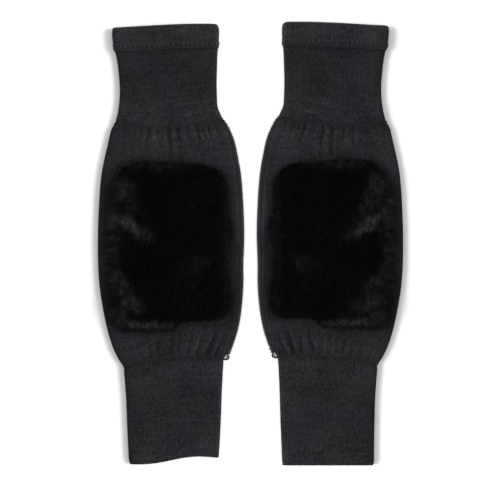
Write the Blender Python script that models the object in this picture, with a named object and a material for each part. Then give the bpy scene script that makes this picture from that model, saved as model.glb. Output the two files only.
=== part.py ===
"""Pair of knitted leg warmers with plush knee pads, laid flat side by side on a surface.

Each warmer is a run of flattened knitted tubes: a turned band at the thigh, a thigh cuff,
a wider gathered knee tube and a calf cuff. The knee tube is closed by one side seam on its
inner edge, and carries a deep-pile pad on its front. The warmer on the right is the mirror
of the one on the left, lying a little further towards the thigh.

Tables are in millimetres. "reach" is the distance from the line midway between the two
warmers, "along" runs up the leg towards the thigh, and "height" stands on the surface.
"""

import bmesh
import bpy
import math
from typing import NamedTuple

MM = 0.001

# ---------------------------------------------------------------- driving dimensions

SEAM_GAP = 0.3            # clearance between neighbouring pieces
RIGHT_SHIFT = 2.0         # how much further up the surface the right warmer lies

BAND_WALL = 4.0           # two layers of knit, turned over and stitched
CUFF_WALL = 2.3
KNEE_WALL = 2.6
FOLD_SHARE = 0.62         # a flattened tube's edge rounds over this share of its height
SLIT_FOLD = 2.4           # the slit inside it rounds over this width
SLIT_LEAST = 0.5          # the slit's least height, where the tube thins at a hem or a seam

FLANGE_HEIGHT = 4.6       # two seam allowances lying together beside the knee tube
FLANGE_ROUND = 0.9
FLANGE_START = 0.5        # the side seam starts this far below the upper seam
FLANGE_SHORT = 3.4        # and ends this far above the lower one

PAD_WIDTH = 119.0
PAD_LENGTH = 165.0
PAD_TOP_CORNER = 25.0     # radius of its two corners towards the thigh
PAD_LOWER_CORNER = 14.0   # and towards the calf
PAD_BULGE = 1.4           # its long sides bow out by this much
PAD_PILE = 6.5            # height of the pile in the pad's middle
PAD_EDGE = 2.2            # height of the pad's upright side
PAD_ROLL = 7.0            # the pile rounds down to its edge over this width

GATHER_PUFF = 0.7         # the cloth between gathers stands this much higher


class CrossLine(NamedTuple):
    """One line across a flattened tube, from its outer edge to its inner edge."""
    outer_reach: float
    outer_along: float
    inner_reach: float
    inner_along: float
    dip: float            # how far its middle hangs below a straight line
    skew: float           # how far its outer half hangs lower than its inner half
    height: float         # thickness of the flattened tube
    crown: float          # extra height in the middle
    flange: float         # width of the seam allowances beside the inner edge


class Gather(NamedTuple):
    """One pleat drawn up by a seam, running away from it."""
    place: float          # share of the way from the outer edge to the inner edge
    slant: float          # how far it drifts towards the inner edge along its length
    length: float
    depth: float
    width: float


#   outer           inner           dip   skew  height crown flange
BAND = [
    (139.9, 219.4,  35.6, 223.4,    -0.9, 0.2,  6.6,  0.2,  0.0),
    (140.8, 218.1,  33.3, 222.0,    -0.9, 0.2,  8.6,  0.4,  0.0),
    (141.2, 212.0,  32.1, 216.3,    -1.0, 0.0,  9.2,  0.5,  0.0),
    (140.0, 201.4,  32.4, 205.6,    -0.9, 0.0,  9.2,  0.5,  0.0),
    (139.2, 196.1,  32.3, 200.4,    -0.8, 0.0,  8.4,  0.4,  0.0),
    (138.7, 195.0,  32.6, 199.3,    -0.8, 0.0,  7.4,  0.3,  0.0),
]
THIGH_CUFF = [
    (138.0, 194.7,  33.0, 199.0,    -0.8, 0.0,  6.2,  0.2,  0.0),
    (137.1, 190.8,  33.4, 195.0,    -0.4, 0.0,  6.8,  0.5,  0.0),
    (136.1, 185.6,  33.7, 189.7,     0.2, 0.0,  6.5,  0.5,  0.0),
    (134.5, 172.5,  34.1, 176.6,     1.4, 0.0,  6.4,  0.5,  0.0),
    (133.5, 158.7,  34.4, 162.8,     2.6, 0.0,  6.4,  0.5,  0.0),
    (133.8, 146.5,  34.1, 150.6,     3.8, 0.0,  6.4,  0.5,  0.0),
    (135.3, 134.2,  33.3, 138.8,     5.0, 0.0,  6.6,  0.6,  0.0),
    (137.0, 126.6,  30.4, 131.6,     5.6, 0.0,  7.1,  0.7,  0.0),
    (138.4, 121.7,  28.1, 126.8,     5.9, 0.0,  5.8,  0.3,  0.0),
]
KNEE_TUBE = [
    (138.9, 121.4,  27.3, 126.5,     5.9, 0.0,  5.8,  0.3,  1.4),
    (142.2, 115.9,  23.7, 121.0,     5.2, 0.0,  6.3,  0.6,  3.4),
    (143.7, 109.8,  20.3, 114.4,     4.4, 0.0,  6.4,  0.9,  3.8),
    (146.0,  99.6,  16.2, 103.6,     3.0, 0.0,  6.3,  1.1,  3.8),
    (149.3,  85.3,  12.9,  88.3,     1.3, 0.0,  6.2,  1.1,  3.8),
    (152.3,  69.0,   9.9,  71.0,     0.2, 0.0,  6.2,  1.1,  3.8),
    (154.4,  44.5,   7.8,  46.5,     0.0, 0.0,  6.2,  1.1,  3.8),
    (155.8,   7.8,   6.4,   9.8,     0.0, 0.0,  6.2,  1.1,  3.8),
    (155.5, -24.9,   7.3, -21.8,     0.0, 0.0,  6.2,  1.1,  3.8),
    (153.5, -49.4,   7.4, -45.3,     0.0, 0.0,  6.2,  1.1,  3.8),
    (148.9, -75.9,   9.6, -70.8,    -1.0, 0.0,  6.2,  1.1,  3.8),
    (144.5, -94.2,  12.8, -88.1,    -2.6, 0.0,  6.3,  0.9,  3.8),
    (139.6, -108.5, 17.2, -102.4,   -4.0, 0.0,  6.4,  0.7,  4.2),
    (133.9, -119.7, 20.6, -111.6,   -4.9, 0.0,  6.3,  0.6,  5.2),
    (130.0, -125.2, 21.9, -116.4,   -5.2, 0.0,  5.8,  0.3,  4.6),
]
LEFT_CALF_CUFF = [
    (129.2, -125.5, 27.5, -116.7,   -5.2, 0.0,  5.8,  0.3,  0.0),
    (129.2, -130.0, 27.7, -121.8,   -4.8, 0.0,  6.5,  0.5,  0.0),
    (128.6, -137.1, 28.2, -129.9,   -4.2, 0.0,  6.4,  0.5,  0.0),
    (127.0, -159.5, 29.3, -152.4,   -2.6, 0.2,  6.2,  0.5,  0.0),
    (126.0, -185.0, 30.2, -177.9,   -1.8, 0.8,  6.2,  0.5,  0.0),
    (124.9, -208.5, 31.4, -201.8,   -1.5, 1.6,  6.2,  0.5,  0.0),
    (123.9, -222.5, 32.4, -216.2,   -1.4, 2.0,  6.0,  0.4,  0.0),
    (122.7, -225.1, 33.0, -218.6,   -1.4, 2.0,  4.9,  0.2,  0.0),
]
RIGHT_CALF_CUFF = [
    (129.2, -125.5, 27.5, -116.7,   -5.2, 0.0,  5.8,  0.3,  0.0),
    (129.4, -130.0, 28.1, -122.0,   -4.8, 0.0,  6.5,  0.5,  0.0),
    (128.8, -138.5, 28.8, -131.0,   -4.0, 0.0,  6.4,  0.5,  0.0),
    (127.3, -161.0, 29.8, -155.0,   -2.4, 0.0,  6.2,  0.5,  0.0),
    (126.6, -187.0, 30.6, -183.0,   -1.2, 0.0,  6.2,  0.5,  0.0),
    (126.2, -211.0, 31.7, -209.5,   -0.4, 0.0,  6.2,  0.5,  0.0),
    (126.0, -225.6, 32.4, -225.3,    0.0, 0.0,  6.0,  0.4,  0.0),
    (124.8, -228.2, 33.0, -228.2,    0.0, 0.0,  4.9,  0.2,  0.0),
]

#   place  slant  length depth width
UPPER_GATHERS = [
    (0.145, -3.0, 38.0, 1.3, 2.2),
    (0.225, -2.5, 44.0, 1.2, 2.0),
    (0.300, -1.5, 36.0, 1.4, 2.2),
    (0.365, -1.0, 30.0, 0.9, 1.9),
    (0.425, -1.0, 46.0, 1.4, 2.2),
    (0.490, 0.0, 32.0, 1.0, 1.9),
    (0.550, 0.0, 46.0, 1.4, 2.2),
    (0.620, 1.0, 34.0, 1.2, 2.0),
    (0.710, 2.0, 42.0, 1.4, 2.3),
    (0.800, 3.0, 38.0, 1.3, 2.2),
    (0.885, 4.0, 26.0, 0.9, 2.0),
]
LOWER_GATHERS = [
    (0.110, -2.5, 24.0, 0.8, 2.1),
    (0.190, -2.0, 34.0, 1.0, 2.1),
    (0.265, -1.5, 30.0, 1.1, 2.0),
    (0.340, -1.0, 36.0, 0.9, 2.0),
    (0.410, -1.0, 32.0, 1.1, 2.0),
    (0.480, 0.0, 38.0, 1.2, 2.1),
    (0.550, 0.5, 32.0, 1.2, 2.0),
    (0.620, 1.5, 40.0, 1.4, 2.1),
    (0.695, 2.0, 34.0, 1.3, 2.1),
    (0.775, 3.5, 42.0, 1.7, 2.4),
    (0.860, 5.0, 40.0, 1.7, 2.4),
    (0.935, 5.0, 26.0, 1.0, 1.9),
]

# Where the pad's four corners would meet if they were square: (reach, along)
PAD_CORNERS = {
    "outer_top": (140.4, 85.2),
    "inner_top": (21.4, 82.0),
    "outer_bottom": (140.0, -89.4),
    "inner_bottom": (20.4, -79.6),
}

# Steps across the front, across the underside and inside, and rings along each tube
BAND_STEPS = (14, 4, 4)
CUFF_STEPS = (14, 4, 4)
KNEE_STEPS = (40, 6, 6)
KNEE_FIRST_STEP = 2.2     # ring spacing at the seams, then where the gathers are
KNEE_FINE_STEP = 6.5
KNEE_COARSE_STEP = 22.0
GATHER_ZONE = 41.0
FOLD_ANGLES = (0.0, 30.0, 60.0)
PAD_EDGE_STEPS = (0.0, 0.7, 2.2, 4.3, 7.0)
PAD_STEP = 18.0

KNIT_BAND = ("charcoal_band_knit", (0.027, 0.026, 0.031), 0.95)
KNIT_CUFF = ("charcoal_cuff_knit", (0.021, 0.020, 0.024), 0.95)
KNIT_KNEE = ("charcoal_knee_knit", (0.023, 0.022, 0.026), 0.95)
KNIT_SEAM = ("charcoal_seam_knit", (0.018, 0.017, 0.020), 0.95)
PLUSH = ("black_plush", (0.004, 0.004, 0.006), 1.0)


# ---------------------------------------------------------------- lines and rings

def cross_lines(table):
    """A table's rows as cross lines."""
    return [CrossLine(*row) for row in table]


def row_positions(lines):
    """How far each row lies from the first, measured halfway across."""
    middle = [(line.outer_along + line.inner_along) / 2 for line in lines]
    return [middle[0] - value for value in middle]


def line_at(lines, distance):
    """The cross line this far below the first row, on a smooth curve through the rows."""
    places = row_positions(lines)
    last = len(lines) - 1
    low = max(i for i in range(last) if places[i] <= distance or i == 0)
    span = places[low + 1] - places[low]
    share = (distance - places[low]) / span

    def slope(i, column):
        before, after = max(i - 1, 0), min(i + 1, last)
        rise = lines[after][column] - lines[before][column]
        return rise / (places[after] - places[before])

    def value(column):
        start, end = lines[low][column], lines[low + 1][column]
        leave, arrive = slope(low, column) * span, slope(low + 1, column) * span
        rest = 1 - share
        return (start * rest * rest * (1 + 2 * share) + leave * share * rest * rest
                + end * share * share * (3 - 2 * share) - arrive * share * share * rest)

    return CrossLine(*[value(column) for column in range(len(lines[0]))])


def without_flange(line):
    """The same cross line, ending at the tube's own edge inside the seam allowances."""
    if line.flange <= 0:
        return line
    return line._replace(inner_reach=line.inner_reach + line.flange + SEAM_GAP)


def plan_point(line, t):
    """(reach, along) at a share t of the way from the outer edge to the inner edge."""
    reach = line.outer_reach + (line.inner_reach - line.outer_reach) * t
    along = line.outer_along + (line.inner_along - line.outer_along) * t
    along -= line.dip * math.sin(math.pi * t) + line.skew * math.sin(2 * math.pi * t)
    return reach, along


def line_width(line):
    return line.outer_reach - line.inner_reach


def rounding(share):
    """Rise of a quarter circle, 0 at its foot and 1 from share 1 on."""
    return math.sqrt(1 - (1 - min(share, 1.0)) ** 2)


def front_height(line, t):
    """Height of a flattened tube's plain front at t."""
    fold = FOLD_SHARE * line.height
    edge = min(t, 1 - t) * line_width(line)
    middle = line.height / 2
    return middle + middle * rounding(edge / fold) + line.crown * math.sin(math.pi * t)


def under_height(line, t):
    """Height of its underside at t, flat on the surface but for the rounded edges."""
    fold = FOLD_SHARE * line.height
    edge = min(t, 1 - t) * line_width(line)
    middle = line.height / 2
    return middle - middle * rounding(edge / fold)


def shares(width, fold, steps):
    """Shares across a line of this width: close together on its two folds, then even."""
    edge = [fold * (1 - math.cos(math.radians(angle))) / width for angle in FOLD_ANGLES]
    start = fold / width
    even = [start + (1 - 2 * start) * i / steps for i in range(steps + 1)]
    return edge + even + [1 - value for value in reversed(edge)]


def closed_loop(line, front_shares, under_shares, front, under):
    """Points over the front and back under the tube, each with its turn round the loop."""
    points = []
    for t in front_shares:
        points.append((t / 2, *plan_point(line, t), front(t)))
    for t in reversed(under_shares[1:-1]):
        points.append((1 - t / 2, *plan_point(line, t), under(t)))
    return points


def ring(line, wall, steps, relief):
    """A tube's outer and inner loops on one cross line."""
    front_steps, under_steps, slit_steps = steps
    width = line_width(line)
    fold = FOLD_SHARE * line.height
    outer = closed_loop(
        line,
        shares(width, fold, front_steps),
        shares(width, fold, under_steps),
        lambda t: front_height(line, t) + relief(t),
        lambda t: under_height(line, t),
    )
    slit_line = line._replace(outer_reach=line.outer_reach - wall,
                              inner_reach=line.inner_reach + wall)
    slit_width = line_width(slit_line)
    middle = line.height / 2
    half_slit = max(middle - wall, SLIT_LEAST / 2)

    def slit_front(t):
        rise = half_slit + line.crown * math.sin(math.pi * t)
        return middle + rise * rounding(min(t, 1 - t) * slit_width / SLIT_FOLD)

    def slit_under(t):
        return middle - half_slit * rounding(min(t, 1 - t) * slit_width / SLIT_FOLD)

    slit_shares = shares(slit_width, SLIT_FOLD, slit_steps)
    inner = closed_loop(slit_line, slit_shares, slit_shares, slit_front, slit_under)
    return outer, inner


# ---------------------------------------------------------------- gathers

def fade(share):
    """1 at share 0, falling smoothly to 0 at share 1."""
    rest = 1 - min(max(share, 0.0), 1.0)
    return rest * rest * (3 - 2 * rest)


def gather_relief(gathers, line, t, distance):
    """Rise or fall of the knee tube's front, this far from the seam that draws it up."""
    width = line_width(line)
    relief = GATHER_PUFF * fade(distance / GATHER_ZONE) * math.sin(math.pi * t)
    for gather in gathers:
        drift = gather.slant * distance / gather.length
        offset = (t - gather.place) * width - drift
        trough = math.exp(-(offset / gather.width) ** 2)
        relief -= gather.depth * trough * fade(distance / gather.length)
    return relief


def knee_relief(line, t, from_top, from_bottom):
    """Relief of both sets of gathers, held down on the seams and on the folded edges."""
    upper = gather_relief([Gather(*row) for row in UPPER_GATHERS], line, t, from_top)
    lower = gather_relief([Gather(*row) for row in LOWER_GATHERS], line, t, from_bottom)
    edge = min(t, 1 - t) * line_width(line)
    return (upper + lower) * min(edge / line.height, 1.0)


# ---------------------------------------------------------------- meshes

def place(side, reach, along, height):
    """World point of a table position on the left (-1) or right (+1) warmer."""
    shift = RIGHT_SHIFT if side > 0 else 0.0
    return (side * reach * MM, (along + shift) * MM, height * MM)


def material(name, colour, roughness):
    """A plain Principled material."""
    found = bpy.data.materials.get(name)
    if found:
        return found
    made = bpy.data.materials.new(name)
    made.use_nodes = True
    shader = made.node_tree.nodes["Principled BSDF"]
    shader.inputs["Base Color"].default_value = (*colour, 1.0)
    shader.inputs["Roughness"].default_value = roughness
    shader.inputs["Metallic"].default_value = 0.0
    return made


def add_object(name, bm, finish):
    """Turn a closed bmesh into a named, smooth-shaded object."""
    bmesh.ops.triangulate(bm, faces=bm.faces)
    bmesh.ops.recalc_face_normals(bm, faces=bm.faces)
    mesh = bpy.data.meshes.new(name)
    bm.to_mesh(mesh)
    bm.free()
    mesh.shade_smooth()
    mesh.set_sharp_from_angle(angle=math.radians(60.0))
    mesh.materials.append(material(*finish))
    made = bpy.data.objects.new(name, mesh)
    bpy.context.collection.objects.link(made)
    return made


def skin_between(bm, first, second):
    """A closed band of quads between two loops with the same number of points."""
    count = len(first)
    for i in range(count):
        j = (i + 1) % count
        bm.faces.new((first[i], first[j], second[j], second[i]))


def join_ends(bm, outer, outer_turns, inner, inner_turns):
    """Triangles that close a tube's end between two loops with different point counts."""
    i = j = 0
    while i < len(outer) or j < len(inner):
        next_outer = outer_turns[i + 1] if i + 1 < len(outer) else 1.0
        next_inner = inner_turns[j + 1] if j + 1 < len(inner) else 1.0
        here_outer, here_inner = outer[i % len(outer)], inner[j % len(inner)]
        if j >= len(inner) or (i < len(outer) and next_outer <= next_inner):
            bm.faces.new((here_outer, outer[(i + 1) % len(outer)], here_inner))
            i += 1
        else:
            bm.faces.new((here_outer, inner[(j + 1) % len(inner)], here_inner))
            j += 1


def tube(name, side, rings, finish):
    """A hollow tube with a wall, open at both ends, through a list of rings."""
    bm = bmesh.new()

    def make(loop):
        return [bm.verts.new(place(side, *point[1:])) for point in loop]

    outers = [make(outer) for outer, _ in rings]
    inners = [make(inner) for _, inner in rings]
    for k in range(len(rings) - 1):
        skin_between(bm, outers[k], outers[k + 1])
        skin_between(bm, inners[k], inners[k + 1])
    for end in (0, -1):
        outer_turns = [point[0] for point in rings[end][0]]
        inner_turns = [point[0] for point in rings[end][1]]
        join_ends(bm, outers[end], outer_turns, inners[end], inner_turns)
    return add_object(name, bm, finish)


def plain_tube(name, side, table, wall, steps, finish):
    """A tube with one ring on each row of its table."""
    rings = [ring(line, wall, steps, lambda t: 0.0) for line in cross_lines(table)]
    return tube(name, side, rings, finish)


# ---------------------------------------------------------------- knee tube and side seam

def knee_stations():
    """Distances of the knee tube's rings below its upper seam: close over the gathers."""
    length = row_positions(cross_lines(KNEE_TUBE))[-1]
    fine = [0.0, KNEE_FIRST_STEP]
    while fine[-1] < GATHER_ZONE:
        fine.append(fine[-1] + KNEE_FINE_STEP)
    bare = length - 2 * fine[-1]
    coarse = max(1, round(bare / KNEE_COARSE_STEP))
    middle = [fine[-1] + bare * i / coarse for i in range(1, coarse)]
    return fine + middle + [length - value for value in reversed(fine)]


def knee_tube(name, side):
    """The gathered tube over the knee."""
    lines = cross_lines(KNEE_TUBE)
    stations = knee_stations()
    rings = []
    for distance in stations:
        line = without_flange(line_at(lines, distance))
        left = stations[-1] - distance
        rings.append(ring(line, KNEE_WALL, KNEE_STEPS,
                          lambda t, a=line, b=distance, c=left: knee_relief(a, t, b, c)))
    return tube(name, side, rings, KNIT_KNEE)


def side_seam(name, side):
    """The seam allowances standing out beside the knee tube's inner edge."""
    lines = cross_lines(KNEE_TUBE)
    stations = knee_stations()
    end = stations[-1] - FLANGE_SHORT
    stations = [FLANGE_START] + [value for value in stations if FLANGE_START < value < end] + [end]
    bm = bmesh.new()
    loops = []
    for distance in stations:
        line = line_at(lines, distance)
        start, edge = line.inner_reach + line.flange, line.inner_reach
        corner = min(FLANGE_ROUND, line.flange / 4)
        top = FLANGE_HEIGHT
        section = [
            (start, 0.0), (edge + corner, 0.0), (edge, corner), (edge, top - corner),
            (edge + corner, top), (start - corner, top), (start, top - corner),
        ]
        loops.append([bm.verts.new(place(side, reach, line.inner_along, height))
                      for reach, height in section])
    for first, second in zip(loops, loops[1:]):
        skin_between(bm, first, second)
    bm.faces.new(loops[0])
    bm.faces.new(loops[-1])
    return add_object(name, bm, KNIT_SEAM)


# ---------------------------------------------------------------- plush pad

def knee_surface(lines, reach, along):
    """Height of the knee tube's plain front at a plan point, found by halving."""
    low, high = 0.0, row_positions(lines)[-1]
    for _ in range(40):
        middle = (low + high) / 2
        line = without_flange(line_at(lines, middle))
        t = (line.outer_reach - reach) / line_width(line)
        if plan_point(line, t)[1] > along:
            low = middle
        else:
            high = middle
    return front_height(line, t)


def edge_steps(length):
    """Places from 0 to length: the edge steps at both ends, even ones between."""
    inside = length - 2 * PAD_TOP_CORNER
    count = round(inside / PAD_STEP)
    edge = [*PAD_EDGE_STEPS, PAD_LOWER_CORNER, PAD_TOP_CORNER]
    even = [PAD_TOP_CORNER + inside * i / count for i in range(1, count)]
    return edge + even + [length - value for value in reversed(edge)]


def corner_radius(y):
    """Radius of the pad's corners on the thigh's side or on the calf's."""
    return PAD_TOP_CORNER if y > 0 else PAD_LOWER_CORNER


def round_corner(x, y):
    """Move a point of the pad's rectangle so that the rectangle's corners become arcs."""
    radius = corner_radius(y)
    from_x, from_y = PAD_WIDTH / 2 - radius, PAD_LENGTH / 2 - radius
    a = (abs(x) - from_x) / radius
    b = (abs(y) - from_y) / radius
    if a <= 0 or b <= 0:
        return x, y
    new_x = from_x + radius * a * math.sqrt(1 - b * b / 2)
    new_y = from_y + radius * b * math.sqrt(1 - a * a / 2)
    return math.copysign(new_x, x), math.copysign(new_y, y)


def edge_distance(x, y):
    """Distance of a point inside the pad from its rounded outline."""
    radius = corner_radius(y)
    a = abs(x) - (PAD_WIDTH / 2 - radius)
    b = abs(y) - (PAD_LENGTH / 2 - radius)
    if a > 0 and b > 0:
        return max(radius - math.hypot(a, b), 0.0)
    return radius - max(a, b)


def pad_plan(x, y):
    """(reach, along) of a point of the pad's rectangle, x from its middle outwards."""
    across = 0.5 - x / PAD_WIDTH
    down = 0.5 - y / PAD_LENGTH

    def blend(axis):
        top = (PAD_CORNERS["outer_top"][axis] * (1 - across)
               + PAD_CORNERS["inner_top"][axis] * across)
        bottom = (PAD_CORNERS["outer_bottom"][axis] * (1 - across)
                  + PAD_CORNERS["inner_bottom"][axis] * across)
        return top * (1 - down) + bottom * down

    bulge = PAD_BULGE * math.sin(math.pi * down) * x / (PAD_WIDTH / 2)
    return blend(0) + bulge, blend(1)


def pile_height(x, y):
    """Height of the pile over its backing, rounding down to the pad's edge."""
    return PAD_EDGE + (PAD_PILE - PAD_EDGE) * rounding(edge_distance(x, y) / PAD_ROLL)


def plush_pad(name, side):
    """The deep-pile pad on the front of the knee tube, shaped to the cloth under it."""
    lines = cross_lines(KNEE_TUBE)
    columns = [value - PAD_WIDTH / 2 for value in edge_steps(PAD_WIDTH)]
    rows = [value - PAD_LENGTH / 2 for value in edge_steps(PAD_LENGTH)]
    bm = bmesh.new()
    pile, backing = [], []
    for row in rows:
        pile_row, backing_row = [], []
        for column in columns:
            x, y = round_corner(column, row)
            reach, along = pad_plan(x, y)
            base = knee_surface(lines, reach, along) + SEAM_GAP
            backing_row.append(bm.verts.new(place(side, reach, along, base)))
            top = base + pile_height(x, y)
            pile_row.append(bm.verts.new(place(side, reach, along, top)))
        pile.append(pile_row)
        backing.append(backing_row)
    for sheet in (pile, backing):
        for i in range(len(rows) - 1):
            for j in range(len(columns) - 1):
                corners = (sheet[i][j], sheet[i][j + 1], sheet[i + 1][j + 1], sheet[i + 1][j])
                bm.faces.new(corners)

    def outline(sheet):
        right = [sheet[i][-1] for i in range(1, len(rows))]
        top = list(reversed(sheet[-1][:-1]))
        left = [sheet[i][0] for i in range(len(rows) - 2, 0, -1)]
        return sheet[0] + right + top + left

    skin_between(bm, outline(pile), outline(backing))
    return add_object(name, bm, PLUSH)


# ---------------------------------------------------------------- the pair

def leg_warmer(prefix, side, calf_table):
    """All the pieces of one warmer."""
    return [
        plain_tube(prefix + "top_band", side, BAND, BAND_WALL, BAND_STEPS, KNIT_BAND),
        plain_tube(prefix + "thigh_cuff", side, THIGH_CUFF, CUFF_WALL, CUFF_STEPS, KNIT_CUFF),
        knee_tube(prefix + "knee_tube", side),
        side_seam(prefix + "side_seam", side),
        plush_pad(prefix + "plush_pad", side),
        plain_tube(prefix + "calf_cuff", side, calf_table, CUFF_WALL, CUFF_STEPS, KNIT_CUFF),
    ]


def centre_on_box(pieces):
    """Slide all the pieces together along the leg until their box is centred on Y = 0."""
    along = [vertex.co.y for piece in pieces for vertex in piece.data.vertices]
    middle = (min(along) + max(along)) / 2
    for piece in pieces:
        for vertex in piece.data.vertices:
            vertex.co.y -= middle


def main():
    for old in list(bpy.data.objects):
        bpy.data.objects.remove(old, do_unlink=True)
    pieces = leg_warmer("left_", -1, LEFT_CALF_CUFF)
    pieces += leg_warmer("right_", 1, RIGHT_CALF_CUFF)
    centre_on_box(pieces)


main()
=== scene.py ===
# %% [markdown]
# # A pair of knitted leg warmers with plush knee pads
# Each warmer is a run of knitted tubes: a turned band at the thigh, a thigh cuff, a wide
# knee tube drawn in by gathers, and a calf cuff. A deep-pile pad lies over the knee. The
# pair lies flat on a pale table and is seen from straight above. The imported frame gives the
# solids; this lesson dresses them in knit, seams, stitches and pile.

# %% Load the fixed frame
import math

import bpy
import numpy as np
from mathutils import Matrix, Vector, noise


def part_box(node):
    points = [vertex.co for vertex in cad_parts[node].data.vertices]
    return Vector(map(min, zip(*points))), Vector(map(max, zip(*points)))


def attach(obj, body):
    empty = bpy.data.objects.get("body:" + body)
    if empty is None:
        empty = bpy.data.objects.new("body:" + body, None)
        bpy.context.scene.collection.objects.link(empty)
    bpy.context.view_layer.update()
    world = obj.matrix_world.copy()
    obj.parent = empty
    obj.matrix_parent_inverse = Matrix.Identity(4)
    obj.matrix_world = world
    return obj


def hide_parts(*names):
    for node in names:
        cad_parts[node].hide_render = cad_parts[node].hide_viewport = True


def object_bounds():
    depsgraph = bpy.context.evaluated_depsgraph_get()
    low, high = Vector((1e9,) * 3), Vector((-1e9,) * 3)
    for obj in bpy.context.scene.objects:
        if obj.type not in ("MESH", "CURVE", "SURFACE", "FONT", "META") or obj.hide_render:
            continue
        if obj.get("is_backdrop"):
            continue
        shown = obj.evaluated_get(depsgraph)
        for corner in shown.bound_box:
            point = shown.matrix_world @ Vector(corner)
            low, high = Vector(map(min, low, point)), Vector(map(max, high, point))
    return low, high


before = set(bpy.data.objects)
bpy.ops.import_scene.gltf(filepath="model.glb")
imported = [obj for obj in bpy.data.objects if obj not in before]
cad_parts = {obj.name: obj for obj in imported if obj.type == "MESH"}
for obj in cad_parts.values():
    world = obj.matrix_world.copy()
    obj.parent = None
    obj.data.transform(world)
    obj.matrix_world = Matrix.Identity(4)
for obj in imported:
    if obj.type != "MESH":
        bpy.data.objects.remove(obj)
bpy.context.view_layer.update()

MM = 0.001

# %% [markdown]
# ## Camera
# The camera looks straight down from more than a metre away through a long lens, so the
# two flat warmers show with almost no perspective. Its distance is worked out from the
# width that the square picture has to cover at the height of the warmers' widest edges.

# %% Camera over the table
PICTURE_PIXELS = 480
MM_PER_PIXEL = 1.02
VIEW_CENTRE = (-10.7, 3.7)  # mm, where the middle of the picture meets the table
EDGE_LEVEL = 3.5  # mm, the height at which that scale holds
LENS, SENSOR = 85.0, 36.0

covered = PICTURE_PIXELS * MM_PER_PIXEL
distance = covered / SENSOR * LENS
camera_data = bpy.data.cameras.new("overhead_camera")
camera_data.lens, camera_data.sensor_width = LENS, SENSOR
camera = bpy.data.objects.new("overhead_camera", camera_data)
camera.location = (VIEW_CENTRE[0] * MM, VIEW_CENTRE[1] * MM, (distance + EDGE_LEVEL) * MM)
bpy.context.scene.collection.objects.link(camera)
bpy.context.scene.camera = camera
print("camera is", round(distance), "mm above the cloth and covers", round(covered), "mm")

# %% [markdown]
# ## Nodes by a few helpers
# Every material and every Geometry Nodes tree below is built with the first of these. It
# finds which family a kind of node belongs to, adds the node, sets its properties, and fills
# its sockets with values or with links. The others are the short sums that the trees share.

# %% Node helpers and colours
NODE_FAMILIES = ("ShaderNode", "GeometryNode", "FunctionNode", "Node")


def add_node(tree, kind, inputs=None, **settings):
    """Add a node; inputs maps a socket's name or number to a value, a socket or a whole node."""
    family = next(each for each in NODE_FAMILIES if hasattr(bpy.types, each + kind))
    node = tree.nodes.new(family + kind)
    for name, value in settings.items():
        setattr(node, name, value)
    for key, value in (inputs or {}).items():
        if isinstance(value, bpy.types.Node):
            value = value.outputs[0]
        if isinstance(value, bpy.types.NodeSocket):
            tree.links.new(value, node.inputs[key])
        else:
            node.inputs[key].default_value = value
    return node


def math_node(tree, operation, first, second=0.0, third=0.0):
    return add_node(tree, "Math", {0: first, 1: second, 2: third}, operation=operation)


def product(tree, first, *others):
    for other in others:
        first = math_node(tree, "MULTIPLY", first, other)
    return first


def mixed(tree, *parts):
    """Sum of (value, weight) pairs."""
    total = 0.0
    for value, weight in parts:
        total = math_node(tree, "ADD", product(tree, value, weight), total)
    return total


def scaled(tree, vector, factor):
    return add_node(tree, "VectorMath", {0: vector, "Scale": factor}, operation="SCALE")


def linear(hex_colour):
    """A linear RGBA colour from an sRGB hex string."""
    parts = [int(hex_colour[i:i + 2], 16) / 255 for i in (1, 3, 5)]
    return [p / 12.92 if p <= 0.04045 else ((p + 0.055) / 1.055) ** 2.4 for p in parts] + [1.0]


def new_material(name):
    """A material and its empty node tree."""
    made = bpy.data.materials.new(name)
    made.use_nodes = True
    made.node_tree.nodes.clear()
    return made, made.node_tree


def end_material(made, colour, roughness, specular, more=None):
    """Close a material with its shader."""
    shader = add_node(made.node_tree, "BsdfPrincipled", {
        "Base Color": colour, "Roughness": roughness, "Specular IOR Level": specular, **(more or {})})
    add_node(made.node_tree, "OutputMaterial", {"Surface": shader})
    return made


print("the grey #808080 is", round(linear("#808080")[0], 3), "of white in Blender's linear light")

# %% [markdown]
# ## The table and the light
# A bright, even sky lights the cloth from all round. On top of it each warmer has its own
# soft sun that leans in from the middle of the pair, so that each outer edge throws a
# narrow soft shadow away from its neighbour, and every rib and gather along a leg shows in
# relief. Light linking keeps each sun to its own warmer and to its own half of the table.

# %% Table halves, sky and suns
TABLE_SIDE = 6.0  # metres
SKY_STRENGTH = 0.76
SUN_STRENGTH = 3.4
SUN_ELEVATION = 33.0  # degrees above the table
SUN_WIDTH = 28.0  # degrees across

scene = bpy.context.scene
scene.view_settings.view_transform = "Standard"
table_paint = end_material(new_material("matt_white_laminate")[0], linear("#f2f2f2"), 0.85, 0.2)

scene.world = bpy.data.worlds.new("soft_white_sky")
scene.world.use_nodes = True
background = scene.world.node_tree.nodes["Background"].inputs
background["Color"].default_value = linear("#ffffff")
background["Strength"].default_value = SKY_STRENGTH

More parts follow.
